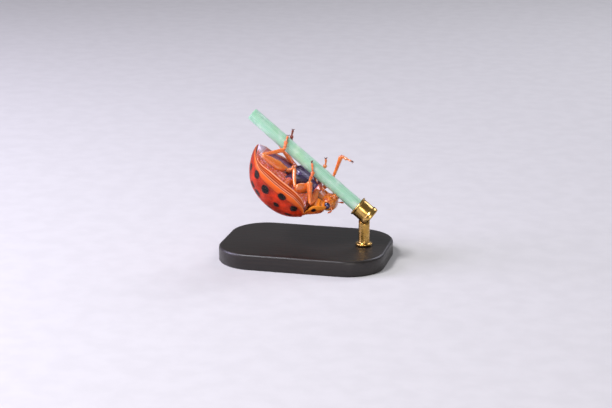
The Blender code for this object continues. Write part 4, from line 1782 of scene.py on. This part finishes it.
    def build(self, bench: Bench, wings: WingCases) -> None:
        """Make the skin as a closed bag, and its sparse coat.

        Args:
            bench: what the makers share.
            wings: the wing cases that it lies in.
        """
        below, marks = self.sheet(wings, bench.legs)
        share = shares(18)[None, 1:-1]
        right, left = below[:, -1:], below[:, :1]
        lid = right + (left - right) * share
        lid[..., 2] += 0.06 + 0.10 * np.sin(math.pi * share[..., 0])
        bare = np.zeros((1, lid.shape[1]))
        points = np.hstack([below, lid])
        piece = Piece("underside_skin")
        piece.grid(points, points[0].mean(axis=0), points[-1].mean(axis=0),
                   **{key: side_by_side(len(lid), value, bare) for key, value in marks.items()})
        piece.build(bench.axes, BELLY_CHITIN.make(), "dark_plate", "abdomen", "thorax", "prothorax")
        roots = scatter(below[6:-10, 5:-5], self.hairs, bench.rng, np.array([0.0, 0.0, 0.5]),
                        (-1.0, 0.0, 0.0), black=marks["black"][6:-10, 5:-5])
        Hair(rise=20.0).grow("underside_coat", [roots], bench, bench.down, "dark_plate")


# ------------------------------------------------------------------ head

@dataclass(frozen=True)
class Head:
    """Head, eyes, feelers and mouthparts, in head axes tipped down from the body's.

    The head axes are a towards the face, y to the left and v up the face.
    """

    centre: Point = (2.87, 0.0, -0.38)
    tip_down: float = math.radians(35.0)
    length: float = 0.57
    half_width: float = 0.84
    half_height: float = 0.56
    eye: Point = (-0.01, 0.775, 0.045)
    eye_radii: Point = (0.235, 0.215, 0.245)
    face_hairs: int = 420
    lip_hairs: int = 110
    palp_hairs: int = 70

    def out(self, points: Array) -> Array:
        """Points turned from head axes to the insect's axes.

        Args:
            points: places in head axes.

        Returns:
            The same places in the insect's axes.
        """
        c, s = math.cos(self.tip_down), math.sin(self.tip_down)
        turn = np.array([[c, 0.0, s], [0.0, 1.0, 0.0], [-s, 0.0, c]])
        return points @ turn.T + np.array(self.centre)

    def capsule(self) -> Tube:
        """The head capsule: a squared egg, flat in front, hollowed round eyes and feelers.

        Returns:
            The grid of points and its two poles, in head axes.
        """
        turn = np.linspace(0.0, math.pi, 74)[1:-1, None]
        angle = full_turn(120)
        ring = np.sin(turn) ** 0.80
        a = self.length * bent(-np.cos(turn), 0.9) + 0.0 * angle
        y = self.half_width * ring * bent(np.cos(angle), 0.88)
        v = self.half_height * ring * bent(np.sin(angle), 0.88)
        y = y * (1.0 - 0.16 * smooth(0.1, 0.55, a))
        points = grid_of(a, y, v)
        away = np.linalg.norm(grid_of(a, np.abs(y), v) - np.array(self.eye), axis=-1)
        push = 0.030 * hump(away, 0.29, 0.035) - 0.035 * hump(away, 0.0, 0.22)
        socket = np.hypot(a - 0.36, np.hypot(np.abs(y) - 0.50, v - 0.10))
        push = push - 0.045 * hump(socket, 0.0, 0.09) + 0.018 * hump(socket, 0.13, 0.03)
        push = push - 0.022 * hump(v, -0.20 - 0.10 * np.abs(y), 0.022) * smooth(0.2, 0.4, a)
        push = push - 0.030 * hump(y, 0.0, 0.26) * hump(v, 0.12, 0.18) * smooth(0.2, 0.45, a)
        push = push + 0.006 * ripple(points, 0.22)
        pole = np.array([self.length, 0.0, 0.0])
        return points + unit(points) * push[..., None], -pole, pole

    def turned(self, tube: Tube) -> Tube:
        """A closed surface turned from head axes to the insect's axes."""
        return tuple(self.out(part) for part in tube)

    def build(self, bench: Bench) -> None:
        """Make the head and all that is on it.

        Args:
            bench: what the makers share.
        """
        skull = Piece("head_capsule")
        capsule = self.turned(self.capsule())
        skull.grid(*capsule)
        skull.build(bench.axes, bench.plate, "body_plate", "head")
        fields = [scatter(capsule[0], self.face_hairs, bench.rng, self.out(np.zeros(3)),
                          (0.7, 0.0, -0.7), (0.02, 0.02, 0.48, 0.98), wrap=True)]
        lens = FacetEye().make()
        for side in Side:
            self._eye(bench, lens, side)
            self._feeler(bench, side)
        fields += self._mouth(bench)
        Hair(width=0.0075, rise=42.0).grow("face_coat", fields, bench, bench.down, "body_plate")

    def _mouth(self, bench: Bench) -> list[Roots]:
        """Make the lip, the chin, and each side's jaw, long palp and small palp.

        Args:
            bench: what the makers share.

        Returns:
            The roots of the hairs on the lip and the long palps.
        """
        mouth = Piece("mouthparts_set")
        upper = self.turned(egg((0.50, 0.0, -0.32), (0.16, 0.40, 0.115), 18, 34, 0.85))
        mouth.grid(*upper)
        mouth.grid(*self.turned(egg((0.36, 0.0, -0.46), (0.22, 0.30, 0.09), 14, 26)), shade=0.35)
        fields = [scatter(upper[0], self.lip_hairs, bench.rng,
                          self.out(np.array([0.5, 0.0, -0.32])), (0.6, 0.0, -0.8),
                          (0.52, 0.52, 0.98, 0.98), wrap=True)]
        palp_sizes = [(0.0, 0.055, 0.05), (0.20, 0.065, 0.055), (0.24, 0.045, 0.04),
                      (0.42, 0.075, 0.06), (0.47, 0.05, 0.045), (0.64, 0.07, 0.055),
                      (0.68, 0.05, 0.045), (0.86, 0.13, 0.06), (1.0, 0.15, 0.05)]
        for side in Side:
            s = side.value
            jaw = limb([(0.30, 0.40 * s, -0.36), (0.50, 0.34 * s, -0.44),
                        (0.62, 0.18 * s, -0.46), (0.61, 0.04 * s, -0.47)],
                       [(0.0, 0.10, 0.08), (0.5, 0.095, 0.07), (1.0, 0.03, 0.02)],
                       (0.0, 0.0, 1.0), 22, 14)
            mouth.grid(*self.turned(jaw), tip=smooth(12.0, 21.0, np.arange(22.0))[:, None])
            palp = self.turned(limb(
                [(0.14, 0.42 * s, -0.40), (0.22, 0.56 * s, -0.50), (0.34, 0.60 * s, -0.57),
                 (0.44, 0.58 * s, -0.62), (0.58, 0.50 * s, -0.64)],
                palp_sizes, (0.3, 0.2 * s, 1.0), 44, 18))
            mouth.grid(*palp)
            fields.append(scatter(palp[0], self.palp_hairs, bench.rng, palp[0].mean(axis=(0, 1)),
                                  (0.8, 0.0, -0.6), (0.52, 0.02, 0.98, 0.48), wrap=True))
            small = limb([(0.34, 0.12 * s, -0.54), (0.44, 0.15 * s, -0.62),
                          (0.54, 0.13 * s, -0.66)],
                         [(0.0, 0.04, 0.035), (0.45, 0.045, 0.04), (0.5, 0.03, 0.03),
                          (1.0, 0.04, 0.035)], (0.0, 1.0, 0.0), 20, 12)
            mouth.grid(*self.turned(small))
        mouth.build(bench.axes, bench.plate, "body_plate", "mouthparts")
        return fields

    def _eye(self, bench: Bench, lens: Material, side: Side) -> None:
        """Make one compound eye, an oval dome with a small notch in front.

        Args:
            bench: what the makers share.
            lens: the eyes' finish.
            side: which eye.
        """
        points, first, last = egg((0.0, 0.0, 0.0), self.eye_radii, 40, 60)
        notch = hump(np.hypot(points[..., 0] - 0.24, points[..., 2] + 0.02), 0.0, 0.05)
        shift = np.array(self.eye) * np.array([1.0, side.value, 1.0])
        dome = points * (1.0 - 0.10 * notch)[..., None] + shift
        piece = Piece("eye_dome_" + side.word)
        piece.grid(*self.turned((dome, first + shift, last + shift)))
        piece.build(bench.axes, lens, "eye", "eye_" + side.word)

    def _feeler(self, bench: Bench, side: Side) -> None:
        """Make one feeler of eleven joints, the last three a club.

        Args:
            bench: what the makers share.
            side: which feeler.
        """
        path = {Side.LEFT: [(3.10, 0.56, -0.40), (3.26, 0.72, -0.36), (3.36, 0.92, -0.30),
                            (3.32, 1.10, -0.22), (3.22, 1.22, -0.12)],
                Side.RIGHT: [(3.10, -0.56, -0.40), (3.26, -0.68, -0.44), (3.42, -0.80, -0.50),
                             (3.56, -0.92, -0.56), (3.68, -1.00, -0.60)]}[side]
        ends = (0.0, 0.13, 0.21, 0.30, 0.37, 0.43, 0.49, 0.55, 0.61, 0.73, 0.86, 1.0)
        thick = (0.062, 0.048, 0.036, 0.034, 0.033, 0.033, 0.034, 0.036, 0.056, 0.072, 0.066)
        rows, columns = 110, 16
        sizes = []
        for start, end, size in zip(ends, ends[1:], thick):
            reach = end - start
            sizes += [(start + 0.02 * reach, size * 0.55, size * 0.55),
                      (start + 0.22 * reach, size * 0.90, size * 0.90),
                      (start + 0.70 * reach, size, size * 0.94),
                      (end - 0.02 * reach, size * 0.60, size * 0.60)]
        piece = Piece("feeler_" + side.word)
        piece.grid(*limb(path, sizes, (0.2, 0.0, 1.0), rows, columns),
                   joint=0.45 * smooth(0.55, 0.75, shares(rows)))
        piece.build(bench.axes, bench.limb_skin, "limb", "antenna_" + side.word)


# ------------------------------------------------------------------ legs

@dataclass(frozen=True)
class Leg:
    """One leg: its pose, which way its sides and claws face, and its half sizes in millimetres.

    The thigh's width near the knee is the share full, and red darkens the whole foot to the
    joints' dark red as painted shade, for a foot in shadow. Each part is a closed tube with its
    value joint, which is high on the reddened joints.
    """

    name: str
    hip: Point
    knee: Point
    ankle: Point
    steps: tuple[Point, ...]
    wide: Point
    foot_wide: Point
    grip: Point
    thigh: float = 0.31
    shin: float = 0.125
    full: float = 0.74
    # painted shade: above 0, the whole foot is darkened as though in shadow
    red: float = 0.0
    foot: float = 0.105
    claw: float = 0.20
    hairs: tuple[int, int, int] = (150, 170, 150)

    @property
    def side(self) -> float:
        """1 for a left leg, -1 for a right leg."""
        return 1.0 if self.hip[1] > 0.0 else -1.0

    @property
    def joints(self) -> tuple[Array, Array, Array]:
        """Hip, knee and ankle."""
        return np.array(self.hip), np.array(self.knee), np.array(self.ankle)

    def build(self, bench: Bench, horn: Material) -> None:
        """Make the leg, its claws and its coat.

        Args:
            bench: what the makers share.
            horn: the claws' finish.
        """
        long_parts = [self._thigh(), self._shin(), self._foot()]
        piece = Piece("leg_" + self.name + "_skin")
        for tube, joint in (*self._hip(), *long_parts, *self._spurs()):
            piece.grid(*tube, joint=joint)
        piece.build(bench.axes, bench.limb_skin, "limb",
                    *("leg_%s_%s" % (self.name, part) for part in ("femur", "tibia", "tarsus")))
        self._claws(bench, horn)
        hip, knee, ankle = self.joints
        ways = (knee - hip, ankle - knee, self.steps[-1] - ankle)
        fields = []
        for k, ((tube, _), count, way) in enumerate(zip(long_parts, self.hairs, ways)):
            patch = (0.02 + 0.33 * k, 0.02, 0.31 + 0.33 * k, 0.98)
            fields.append(scatter(tube[0], count, bench.rng, tube[0].mean(axis=(0, 1)), way,
                                  patch, wrap=True))
        Hair(width=0.007, rise=30.0).grow(
            "leg_" + self.name + "_coat", fields, bench, bench.down, "limb")

    def _hip(self) -> list[tuple[Tube, float]]:
        """Coxa and trochanter: a squat ball under the body and a small ring at the thigh.

        Returns:
            The two tubes, each with its value joint.
        """
        hip, knee, _ = self.joints
        ball = egg(hip + np.array([-0.02, -0.22 * self.side, 0.10]), (0.17, 0.24, 0.15), 16, 24)
        path = [hip + [0.02, -0.12 * self.side, 0.02], hip, hip + (knee - hip) * 0.14]
        sizes = [(0.0, 0.10, 0.10), (0.5, 0.15, 0.13), (1.0, 0.13, 0.11)]
        return [(ball, 0.15), (limb(path, sizes, self.wide, 14, 18), 0.45)]

    def _thigh(self) -> tuple[Tube, Array]:
        """Femur: flat and widest before its middle, with a bow away from the shin.

        Returns:
            The tube and its value joint.
        """
        hip, knee, ankle = self.joints
        path = [hip, hip + (knee - hip) * 0.4 - (ankle - knee) * 0.04, knee]
        wide, thin = self.thigh, self.thigh * FLATNESS
        sizes = [(0.0, 0.10, 0.09), (0.10, 0.16, 0.11), (0.40, wide, thin),
                 (0.75, wide * self.full, thin * 0.92),
                 (0.93, wide * (self.full - 0.24), 0.13), (1.0, 0.14, 0.12)]
        rows = 48
        share = shares(rows)
        joint = 0.55 * smooth(0.93, 1.0, share) + 0.4 * smooth(0.08, 0.0, share)
        return limb(path, sizes, self.wide, rows, 26), joint

    def _shin(self) -> tuple[Tube, Array]:
        """Tibia: slim at the knee, bent a little, wider towards the foot.

        Returns:
            The tube and its value joint.
        """
        _, knee, ankle = self.joints
        bow = np.cross(ankle - knee, np.array(self.wide)) * 0.035
        path = [knee, knee + (ankle - knee) * 0.45 + bow, ankle]
        shape = ((0.20, 0.84, 0.82), (0.50, 0.96, 0.92), (0.80, 1.16, 1.0), (0.96, 1.26, 1.05),
                 (1.0, 1.0, 1.0))
        sizes = [(0.0, 0.085, 0.08), (0.10, 0.115, 0.10)]
        sizes += [(at, self.shin * wide, self.shin * thin) for at, wide, thin in shape]
        rows = 44
        share = shares(rows)
        joint = 0.55 * smooth(0.06, 0.0, share) + 0.45 * smooth(0.95, 1.0, share)
        return limb(path, sizes, self.wide, rows, 22), joint

    def _foot(self) -> tuple[Tube, Array]:
        """Tarsus: two broad joints and the slim joint that holds the claws.

        Returns:
            The tube and its value joint.
        """
        shape = ((0.05, 0.75, 0.7), (0.28, 1.15, 0.85), (0.32, 0.72, 0.6), (0.36, 0.85, 0.75),
                 (0.54, 1.35, 0.85), (0.58, 0.62, 0.5), (0.70, 0.55, 0.5), (0.92, 0.74, 0.66),
                 (1.0, 0.66, 0.6))
        sizes = [(0.0, 0.06, 0.06)]
        sizes += [(at, self.foot * wide, self.foot * thin) for at, wide, thin in shape]
        rows = 60
        share = shares(rows)
        # The joint value also carries red, the foot's painted shade.
        joint = 0.6 * (hump(share, 0.32, 0.02) + hump(share, 0.58, 0.03)) + 0.3 * smooth(
            0.7, 1.0, share) + self.red
        return limb([self.ankle, *self.steps], sizes, self.foot_wide, rows, 20), joint

    def _spurs(self) -> list[tuple[Tube, float]]:
        """Two short spurs at the shin's end.

        Returns:
            The two tubes, each with its value joint.
        """
        _, knee, ankle = self.joints
        along = unit(ankle - knee)
        sideways = np.cross(along, np.array(self.wide))
        sizes = [(0.0, 0.022, 0.022), (1.0, 0.006, 0.006)]
        spurs = []
        for sign in (-1.0, 1.0):
            root = ankle - along * 0.05 + sideways * sign * 0.07
            path = [root, root + along * 0.07 + sideways * sign * 0.02, root + along * 0.15]
            spurs.append((limb(path, sizes, self.wide, 10, 8), 0.5))
        return spurs

    def _claws(self, bench: Bench, horn: Material) -> None:
        """Make two hooked claws, each with a tooth at its root.

        Args:
            bench: what the makers share.
            horn: the finish.
        """
        end, before = np.array(self.steps[-1]), np.array(self.steps[-2])
        along = unit(end - before)
        grip = np.array(self.grip, dtype=float)
        grip = unit(grip - along * grip.dot(along))
        apart = np.cross(along, grip)
        reach = self.claw
        hook_rows, tooth_rows = 26, 14
        piece = Piece("claws_" + self.name)
        for sign in (-1.0, 1.0):
            root = end - along * 0.03
            path = [root, root + along * reach * 0.42 + apart * sign * reach * 0.30 - grip * 0.015,
                    root + along * reach * 0.80 + apart * sign * reach * 0.46 + grip * reach * 0.18,
                    root + along * reach * 0.92 + apart * sign * reach * 0.52 + grip * reach * 0.52]
            sizes = [(0.0, 0.042, 0.036), (0.5, 0.034, 0.028), (1.0, 0.007, 0.006)]
            piece.grid(*limb(path, sizes, grip, hook_rows, 12), tip=shares(hook_rows))
            tooth = [path[0] + grip * 0.01, path[1] + grip * reach * 0.10,
                     path[1] + grip * reach * 0.34 + along * reach * 0.10]
            sizes = [(0.0, 0.03, 0.026), (1.0, 0.006, 0.006)]
            piece.grid(*limb(tooth, sizes, along, tooth_rows, 10), tip=0.7 * shares(tooth_rows))
        piece.build(bench.axes, horn, "limb")


def clinging_legs(stem: StemForm) -> tuple[Leg, ...]:
    """The six legs: four with a foot at the stem, and a front and a middle one held free.

    Args:
        stem: the stem that they cling to.

    Returns:
        The legs.
    """
    beside = stem.beside
    forward, upward = (1.0, 0.0, 0.0), (0.0, -0.7, 0.7)
    return (
        Leg("left_front", (1.76, 0.62, -0.72), (1.92, 1.83, -0.07), (0.96, 1.22, -1.16),
            (beside(0.80, -14.0, 0.66), beside(0.58, 10.0, 0.57), beside(0.33, 36.0, 0.56)),
            (0.9, 0.1, 0.3), forward, (0.0, -0.6, -0.8), 0.25, 0.165),
        Leg("left_middle", (1.28, 0.66, -0.60), (0.46, 2.00, -0.44), (-0.40, 1.10, -1.19),
            ((-0.58, 1.32, -1.04), (-0.74, 1.58, -0.95)),
            (0.1, 0.2, 0.9), (0.6, 0.6, -0.4), (-0.3, 0.9, 0.3), 0.43, 0.130, 0.92),
        Leg("left_hind", (-0.55, 0.72, -0.70), (-2.66, 1.88, -0.88), (-1.70, 0.60, -1.66),
            (beside(-1.84, 6.0, 0.58), beside(-1.98, 38.0, 0.56), beside(-2.09, 72.0, 0.56)),
            (0.0, 0.7, 0.7), forward, (0.0, -0.9, -0.1), 0.33),
        Leg("right_front", (1.98, -0.50, -0.80), (1.99, -1.60, -1.57), (1.60, -1.50, -3.06),
            ((1.98, -1.45, -3.12), (2.38, -1.38, -3.23)),
            forward, (0.0, 1.0, 0.3), (0.5, 0.0, 0.9), 0.26),
        Leg("right_middle", (1.34, -0.66, -0.66), (0.74, -2.02, -0.74), (1.13, -0.84, -1.70),
            (beside(1.17, 148.0, 0.60), (1.06, -0.44, -2.34), (0.90, -0.32, -2.62)),
            upward, forward, (0.2, 0.9, -0.2), 0.30),
        # The right hind foot, on the far side, is darkened with painted shade.
        Leg("right_hind", (-0.52, -0.74, -0.74), (-2.60, -1.98, -0.95), (-1.79, -0.88, -1.97),
            (beside(-1.84, 148.0, 0.62), (-1.98, -0.40, -2.58), (-2.07, -0.27, -2.86)),
            upward, forward, (0.2, 0.9, -0.2), 0.31, red=0.9),
    )


# ------------------------------------------------------------------ perch and stand

@dataclass(frozen=True)
class Perch:
    """The cut grass stem: a veined skin, and a cut face on its free end."""

    form: StemForm
    vein_height: float = 0.008

    def build(self, bench: Bench) -> None:
        """Make the skin as a closed bar, and the cut face as a thin plug set in its end.

        Args:
            bench: what the makers share.
        """
        form = self.form
        veins = form.veins
        ease = np.array([0.965, 0.99, 1.0])
        reach = np.linspace(form.upper + 0.012, form.lower - 0.012, 150)
        ends = np.concatenate([[form.upper, form.upper + 0.004], reach,
                               [form.lower - 0.004, form.lower]])
        scale = np.concatenate([ease[:2], np.ones(len(reach)), ease[1::-1]])[:, None]
        centre = form.point(ends)
        swell = 0.006 * np.sin(ends * 1.7)[:, None] + 0.003 * np.sin(ends * 5.3)[:, None]
        angle = full_turn(7 * veins)
        radius = (form.radius - self.vein_height + swell + self.vein_height
                  * np.cos(veins * angle) * 0.5) * scale
        circle = rings(np.zeros((1, 3)), ACROSS[None], form.upright[None], 7 * veins)
        piece = Piece("grass_stem")
        piece.grid(centre[:, None] + radius[..., None] * circle, centre[0], centre[-1],
                   round=angle * form.radius, along=ends[:, None])
        piece.build(bench.axes, GrassStem(form).make(), "stem", "perch_stem")
        self._cut_face(bench)

    def _cut_face(self, bench: Bench) -> None:
        """Make the plug, which stands 0.01 mm out of the free end and is dished.

        Args:
            bench: what the makers share.
        """
        share = np.linspace(1.0, 0.04, 22)[:, None]
        columns = 60
        dish = np.where(share > 0.95, -0.03, 0.012 - 0.05 * smooth(0.55, 0.0, share))
        bumpy = 0.006 * np.sin(9.0 * full_turn(columns) + 20.0 * share) * (share < 0.95)
        size = self.form.radius * 0.955 * share
        centre = self.form.point(np.array([self.form.upper]))
        ahead = -self.form.along
        points = (rings(centre, size * ACROSS, size * self.form.upright, columns)
                  + (dish + bumpy)[..., None] * ahead)
        piece = Piece("stem_cut_face")
        piece.grid(points, centre[0] - ahead * 0.03, points[-1].mean(axis=0), depth=size)
        piece.build(bench.axes, CutPith(self.form).make(), "stem")


@dataclass(frozen=True)
class Stand:
    """Base plate and upright rod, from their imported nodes, and a ferrule round the stem."""

    form: StemForm
    corner: float = 2.6
    ease: float = 0.20
    rod_radius: float = 0.40
    wall: float = 0.26
    length: float = 1.30
    floor: float = 0.30

    def build(self, bench: Bench) -> None:
        """Make the three pieces.

        Args:
            bench: what the makers share.
        """
        brass = TurnedBrass().make()
        self._base()
        self._rod(brass)
        self._ferrule(bench, brass)

    def _base(self) -> None:
        """Make the plate: a rounded rectangle carried up a profile with eased edges."""
        low, high = (np.array(corner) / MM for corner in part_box("stand_base"))
        half = (high - low)[:2] / 2.0
        middle = (high + low)[:2] / 2.0
        angle = full_turn(240)[0]
        quarter = np.floor(angle / (math.pi / 2.0))
        sx = np.where((quarter == 0) | (quarter == 3), 1.0, -1.0)
        sy = np.where(quarter < 2, 1.0, -1.0)
        turn = np.linspace(0.0, math.pi / 2.0, 7)
        e = self.ease
        inset = np.concatenate([[e * 0.35, 0.0], e * (1.0 - np.cos(turn))])
        level = np.concatenate([[low[2], low[2] + e * 0.35], high[2] - e * (1.0 - np.sin(turn))])
        radius = self.corner - inset[:, None]
        sides = grid_of(middle[0] + sx * (half[0] - self.corner) + radius * np.cos(angle),
                        middle[1] + sy * (half[1] - self.corner) + radius * np.sin(angle),
                        level[:, None])
        closing = np.array([0.90, 0.6, 0.3])[:, None, None]
        hub_top, hub_low = (np.array([*middle, tall]) for tall in (high[2], low[2]))
        top = hub_top + (sides[-1][None] - hub_top) * closing
        under = hub_low + (sides[0][None] - hub_low) * closing[::-1]
        piece = Piece("stand_base_wood")
        piece.grid(np.concatenate([under, sides, top]), hub_low, hub_top)
        piece.build(RowAxes(), EbonisedMaple().make(), "wood", "stand_base")

    @staticmethod
    def _lathe(piece: Piece, profile: list[tuple[float, float]], centre: Array,
               along: Array) -> None:
        """Turn a profile round an axis; both its ends are poles.

        Args:
            piece: what it is added to.
            profile: pairs of distance along the axis and radius.
            centre: where the distances start.
            along: the axis.
        """
        reach, radius = np.array(profile)[:, :, None].transpose(1, 0, 2)
        axis = centre + reach * along
        points = rings(axis, radius * ACROSS, radius * np.cross(along, ACROSS), 96)[1:-1]
        piece.grid(points, axis[0], axis[-1], turning=(reach + 0.5 * radius)[1:-1])

    def _rod(self, brass: Material) -> None:
        """Make the upright: a small turned foot on the base, and a plain shaft.

        Args:
            brass: the finish.
        """
        low, high = (np.array(corner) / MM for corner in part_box("stand_rod"))
        centre = np.array([(low[0] + high[0]) / 2.0, 0.0, low[2]])
        r, tall = self.rod_radius, (high - low)[2]
        foot = [(0.0, 0.0), (0.0, r * 1.45)]
        foot += [(0.10 + 0.06 * math.sin(t), r * (1.30 + 0.15 * math.cos(t)))
                 for t in np.linspace(0.0, math.pi / 2.0, 6)]
        foot += [(0.17, r * 1.10), (0.20, r * 1.0), (0.26, r * 0.96)]
        shaft = [(tall * share, r * 0.96) for share in (0.35, 0.6, 0.85)]
        piece = Piece("stand_rod_brass")
        self._lathe(piece, foot + shaft + [(tall + 0.02, r * 0.96), (tall + 0.02, 0.0)],
                    centre, np.array([0.0, 0.0, 1.0]))
        piece.build(RowAxes(), brass, "brass", "stand_rod")

    def _ferrule(self, bench: Bench, brass: Material) -> None:
        """Make the cup that holds the stem's lower end: a beaded mouth and a rounded floor.

        Args:
            bench: what the makers share.
            brass: the finish.
        """
        form = self.form
        inner, outer = form.radius + 0.02, form.radius + self.wall
        bottom = form.lower + GAP + self.floor
        mouth = bottom - self.length
        bead = [(mouth + 0.07 - 0.07 * math.sin(t), (inner + outer) / 2.0 + 0.01
                 - (outer - inner) / 2.0 * math.cos(t)) for t in np.linspace(0.0, math.pi, 9)]
        neck = [(mouth + 0.12, outer - 0.01), (mouth + 0.15, outer - 0.05),
                (mouth + 0.20, outer - 0.06), (bottom - 0.42, outer - 0.06),
                (bottom - 0.37, outer - 0.05), (bottom - 0.34, outer)]
        floor = [(bottom - 0.12 * (1.0 - math.sin(t)), outer - 0.12 * (1.0 - math.cos(t)))
                 for t in np.linspace(0.0, math.pi / 2.0, 6)]
        well = bottom - self.floor
        profile = [(well, 0.0), (well, inner * 0.5), (well, inner), (mouth + 0.3, inner)]
        profile += bead + neck + floor + [(bottom, outer * 0.5), (bottom, 0.0)]
        piece = Piece("stand_ferrule_brass")
        self._lathe(piece, profile, form.point(np.array([0.0]))[0], form.along)
        piece.build(bench.axes, brass, "brass", "stand_ferrule")


# ------------------------------------------------------------------ studio

@dataclass(frozen=True)
class Softbox:
    """A square area light that looks at the insect: sizes in mm, power in watts.

    The power is small because the light is close.
    """

    name: str
    way: Point
    distance: float
    size: float
    power: float
    colour: str

    def hang(self, target: Array) -> None:
        """Make the light.

        Args:
            target: the point it looks at, in row-frame millimetres.
        """
        light = bpy.data.lights.new(self.name, "AREA")
        light.shape, light.size, light.energy = "SQUARE", self.size * MM, self.power
        light.color = linear(self.colour)[:3]
        holder = bpy.data.objects.new(self.name, light)
        step = Vector(self.way).normalized()
        holder.location = Vector(target * MM) + step * self.distance * MM
        holder.rotation_euler = step.to_track_quat("Z", "Y").to_euler()
        bpy.context.scene.collection.objects.link(holder)


@dataclass(frozen=True)
class Studio:
    """Pale floor, soft lights and the camera; distances in millimetres, floor in metres."""

    azimuth: float = math.radians(13.5)
    elevation: float = math.radians(16.0)
    distance: float = 117.0
    lens: float = 100.0
    beside: float = 0.892
    below: float = -1.578
    floor_half: float = 0.9
    sky: float = 0.22
    sky_colour: str = "#EEF0F2"
    lights: tuple[Softbox, ...] = (
        Softbox("key_light", (-0.60, -0.70, 1.25), 150.0, 42.0, 0.19, "#F8F6FF"),
        Softbox("front_light", (0.35, -1.0, 0.22), 150.0, 44.0, 0.055, "#FFF8F4"),
        Softbox("rim_light", (0.55, 1.0, 0.85), 150.0, 70.0, 0.08, "#EFEFFF"),
        Softbox("side_light", (-0.95, -0.22, 0.45), 140.0, 80.0, 0.21, "#E2DAFF"))

    def build(self, axes: InsectAxes) -> None:
        """Set the stage round the insect.

        Args:
            axes: where the insect is.
        """
        self._floor()
        self._camera(axes)
        world = bpy.data.worlds.new("studio_world")
        world.use_nodes = True
        backdrop = world.node_tree.nodes["Background"]
        backdrop.inputs["Color"].default_value = linear(self.sky_colour)
        backdrop.inputs["Strength"].default_value = self.sky
        bpy.context.scene.world = world
        bpy.context.scene.view_settings.view_transform = "Standard"
        for light in self.lights:
            light.hang(axes.origin)

    def _floor(self) -> None:
        """Make a flat card, larger than any view, at the height that the base stands on."""
        level = float(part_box("stand_base")[0].z)
        mesh = bpy.data.meshes.new("floor_card")
        corners = [(-1, -1), (1, -1), (1, 1), (-1, 1)]
        mesh.from_pydata([(x * self.floor_half, y * self.floor_half, level) for x, y in corners],
                         [], [(0, 1, 2, 3)])
        floor = bpy.data.objects.new("floor_card", mesh)
        floor.data.materials.append(FloorCard().make())
        bpy.context.scene.collection.objects.link(floor)

    def _camera(self, axes: InsectAxes) -> None:
        """Set a long macro lens that looks a little down; the insect sits off centre.

        Args:
            axes: where the insect is.
        """
        a, e = self.azimuth, self.elevation
        back = np.array([math.sin(a) * math.cos(e), -math.cos(a) * math.cos(e), math.sin(e)])
        right = np.array([math.cos(a), math.sin(a), 0.0])
        up = np.cross(back, right)
        aim = axes.origin + right * self.beside + up * self.below
        camera = bpy.data.cameras.new("camera")
        camera.lens = self.lens
        camera.clip_start, camera.clip_end = 0.005, 5.0
        holder = bpy.data.objects.new("camera", camera)
        turn = Matrix((right, up, back)).transposed().to_4x4()
        holder.matrix_world = Matrix.Translation(Vector((aim + back * self.distance) * MM)) @ turn
        bpy.context.scene.collection.objects.link(holder)
        bpy.context.scene.camera = holder


# ------------------------------------------------------------------ assembly

def main() -> None:
    """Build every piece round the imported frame."""
    logging.basicConfig(level=logging.INFO, format="%(name)s %(message)s")
    stem, wings = StemForm(), WingCases()
    bench = Bench(InsectAxes.from_frame(stem), clinging_legs(stem), np.random.default_rng(SEED),
                  HEAD_CHITIN.make(), LIMB_CHITIN.make(), GOLDEN_DOWN.make())
    wings.build(bench)
    NeckShield().build(bench)
    Scutellum().build(bench, wings)
    Underside().build(bench, wings)
    Head().build(bench)
    horn = CLAW_HORN.make()
    for leg in bench.legs:
        leg.build(bench, horn)
    Perch(stem).build(bench)
    Stand(stem).build(bench)
    Studio().build(bench.axes)
    bpy.context.view_layer.update()


if __name__ == "__main__":
    main()
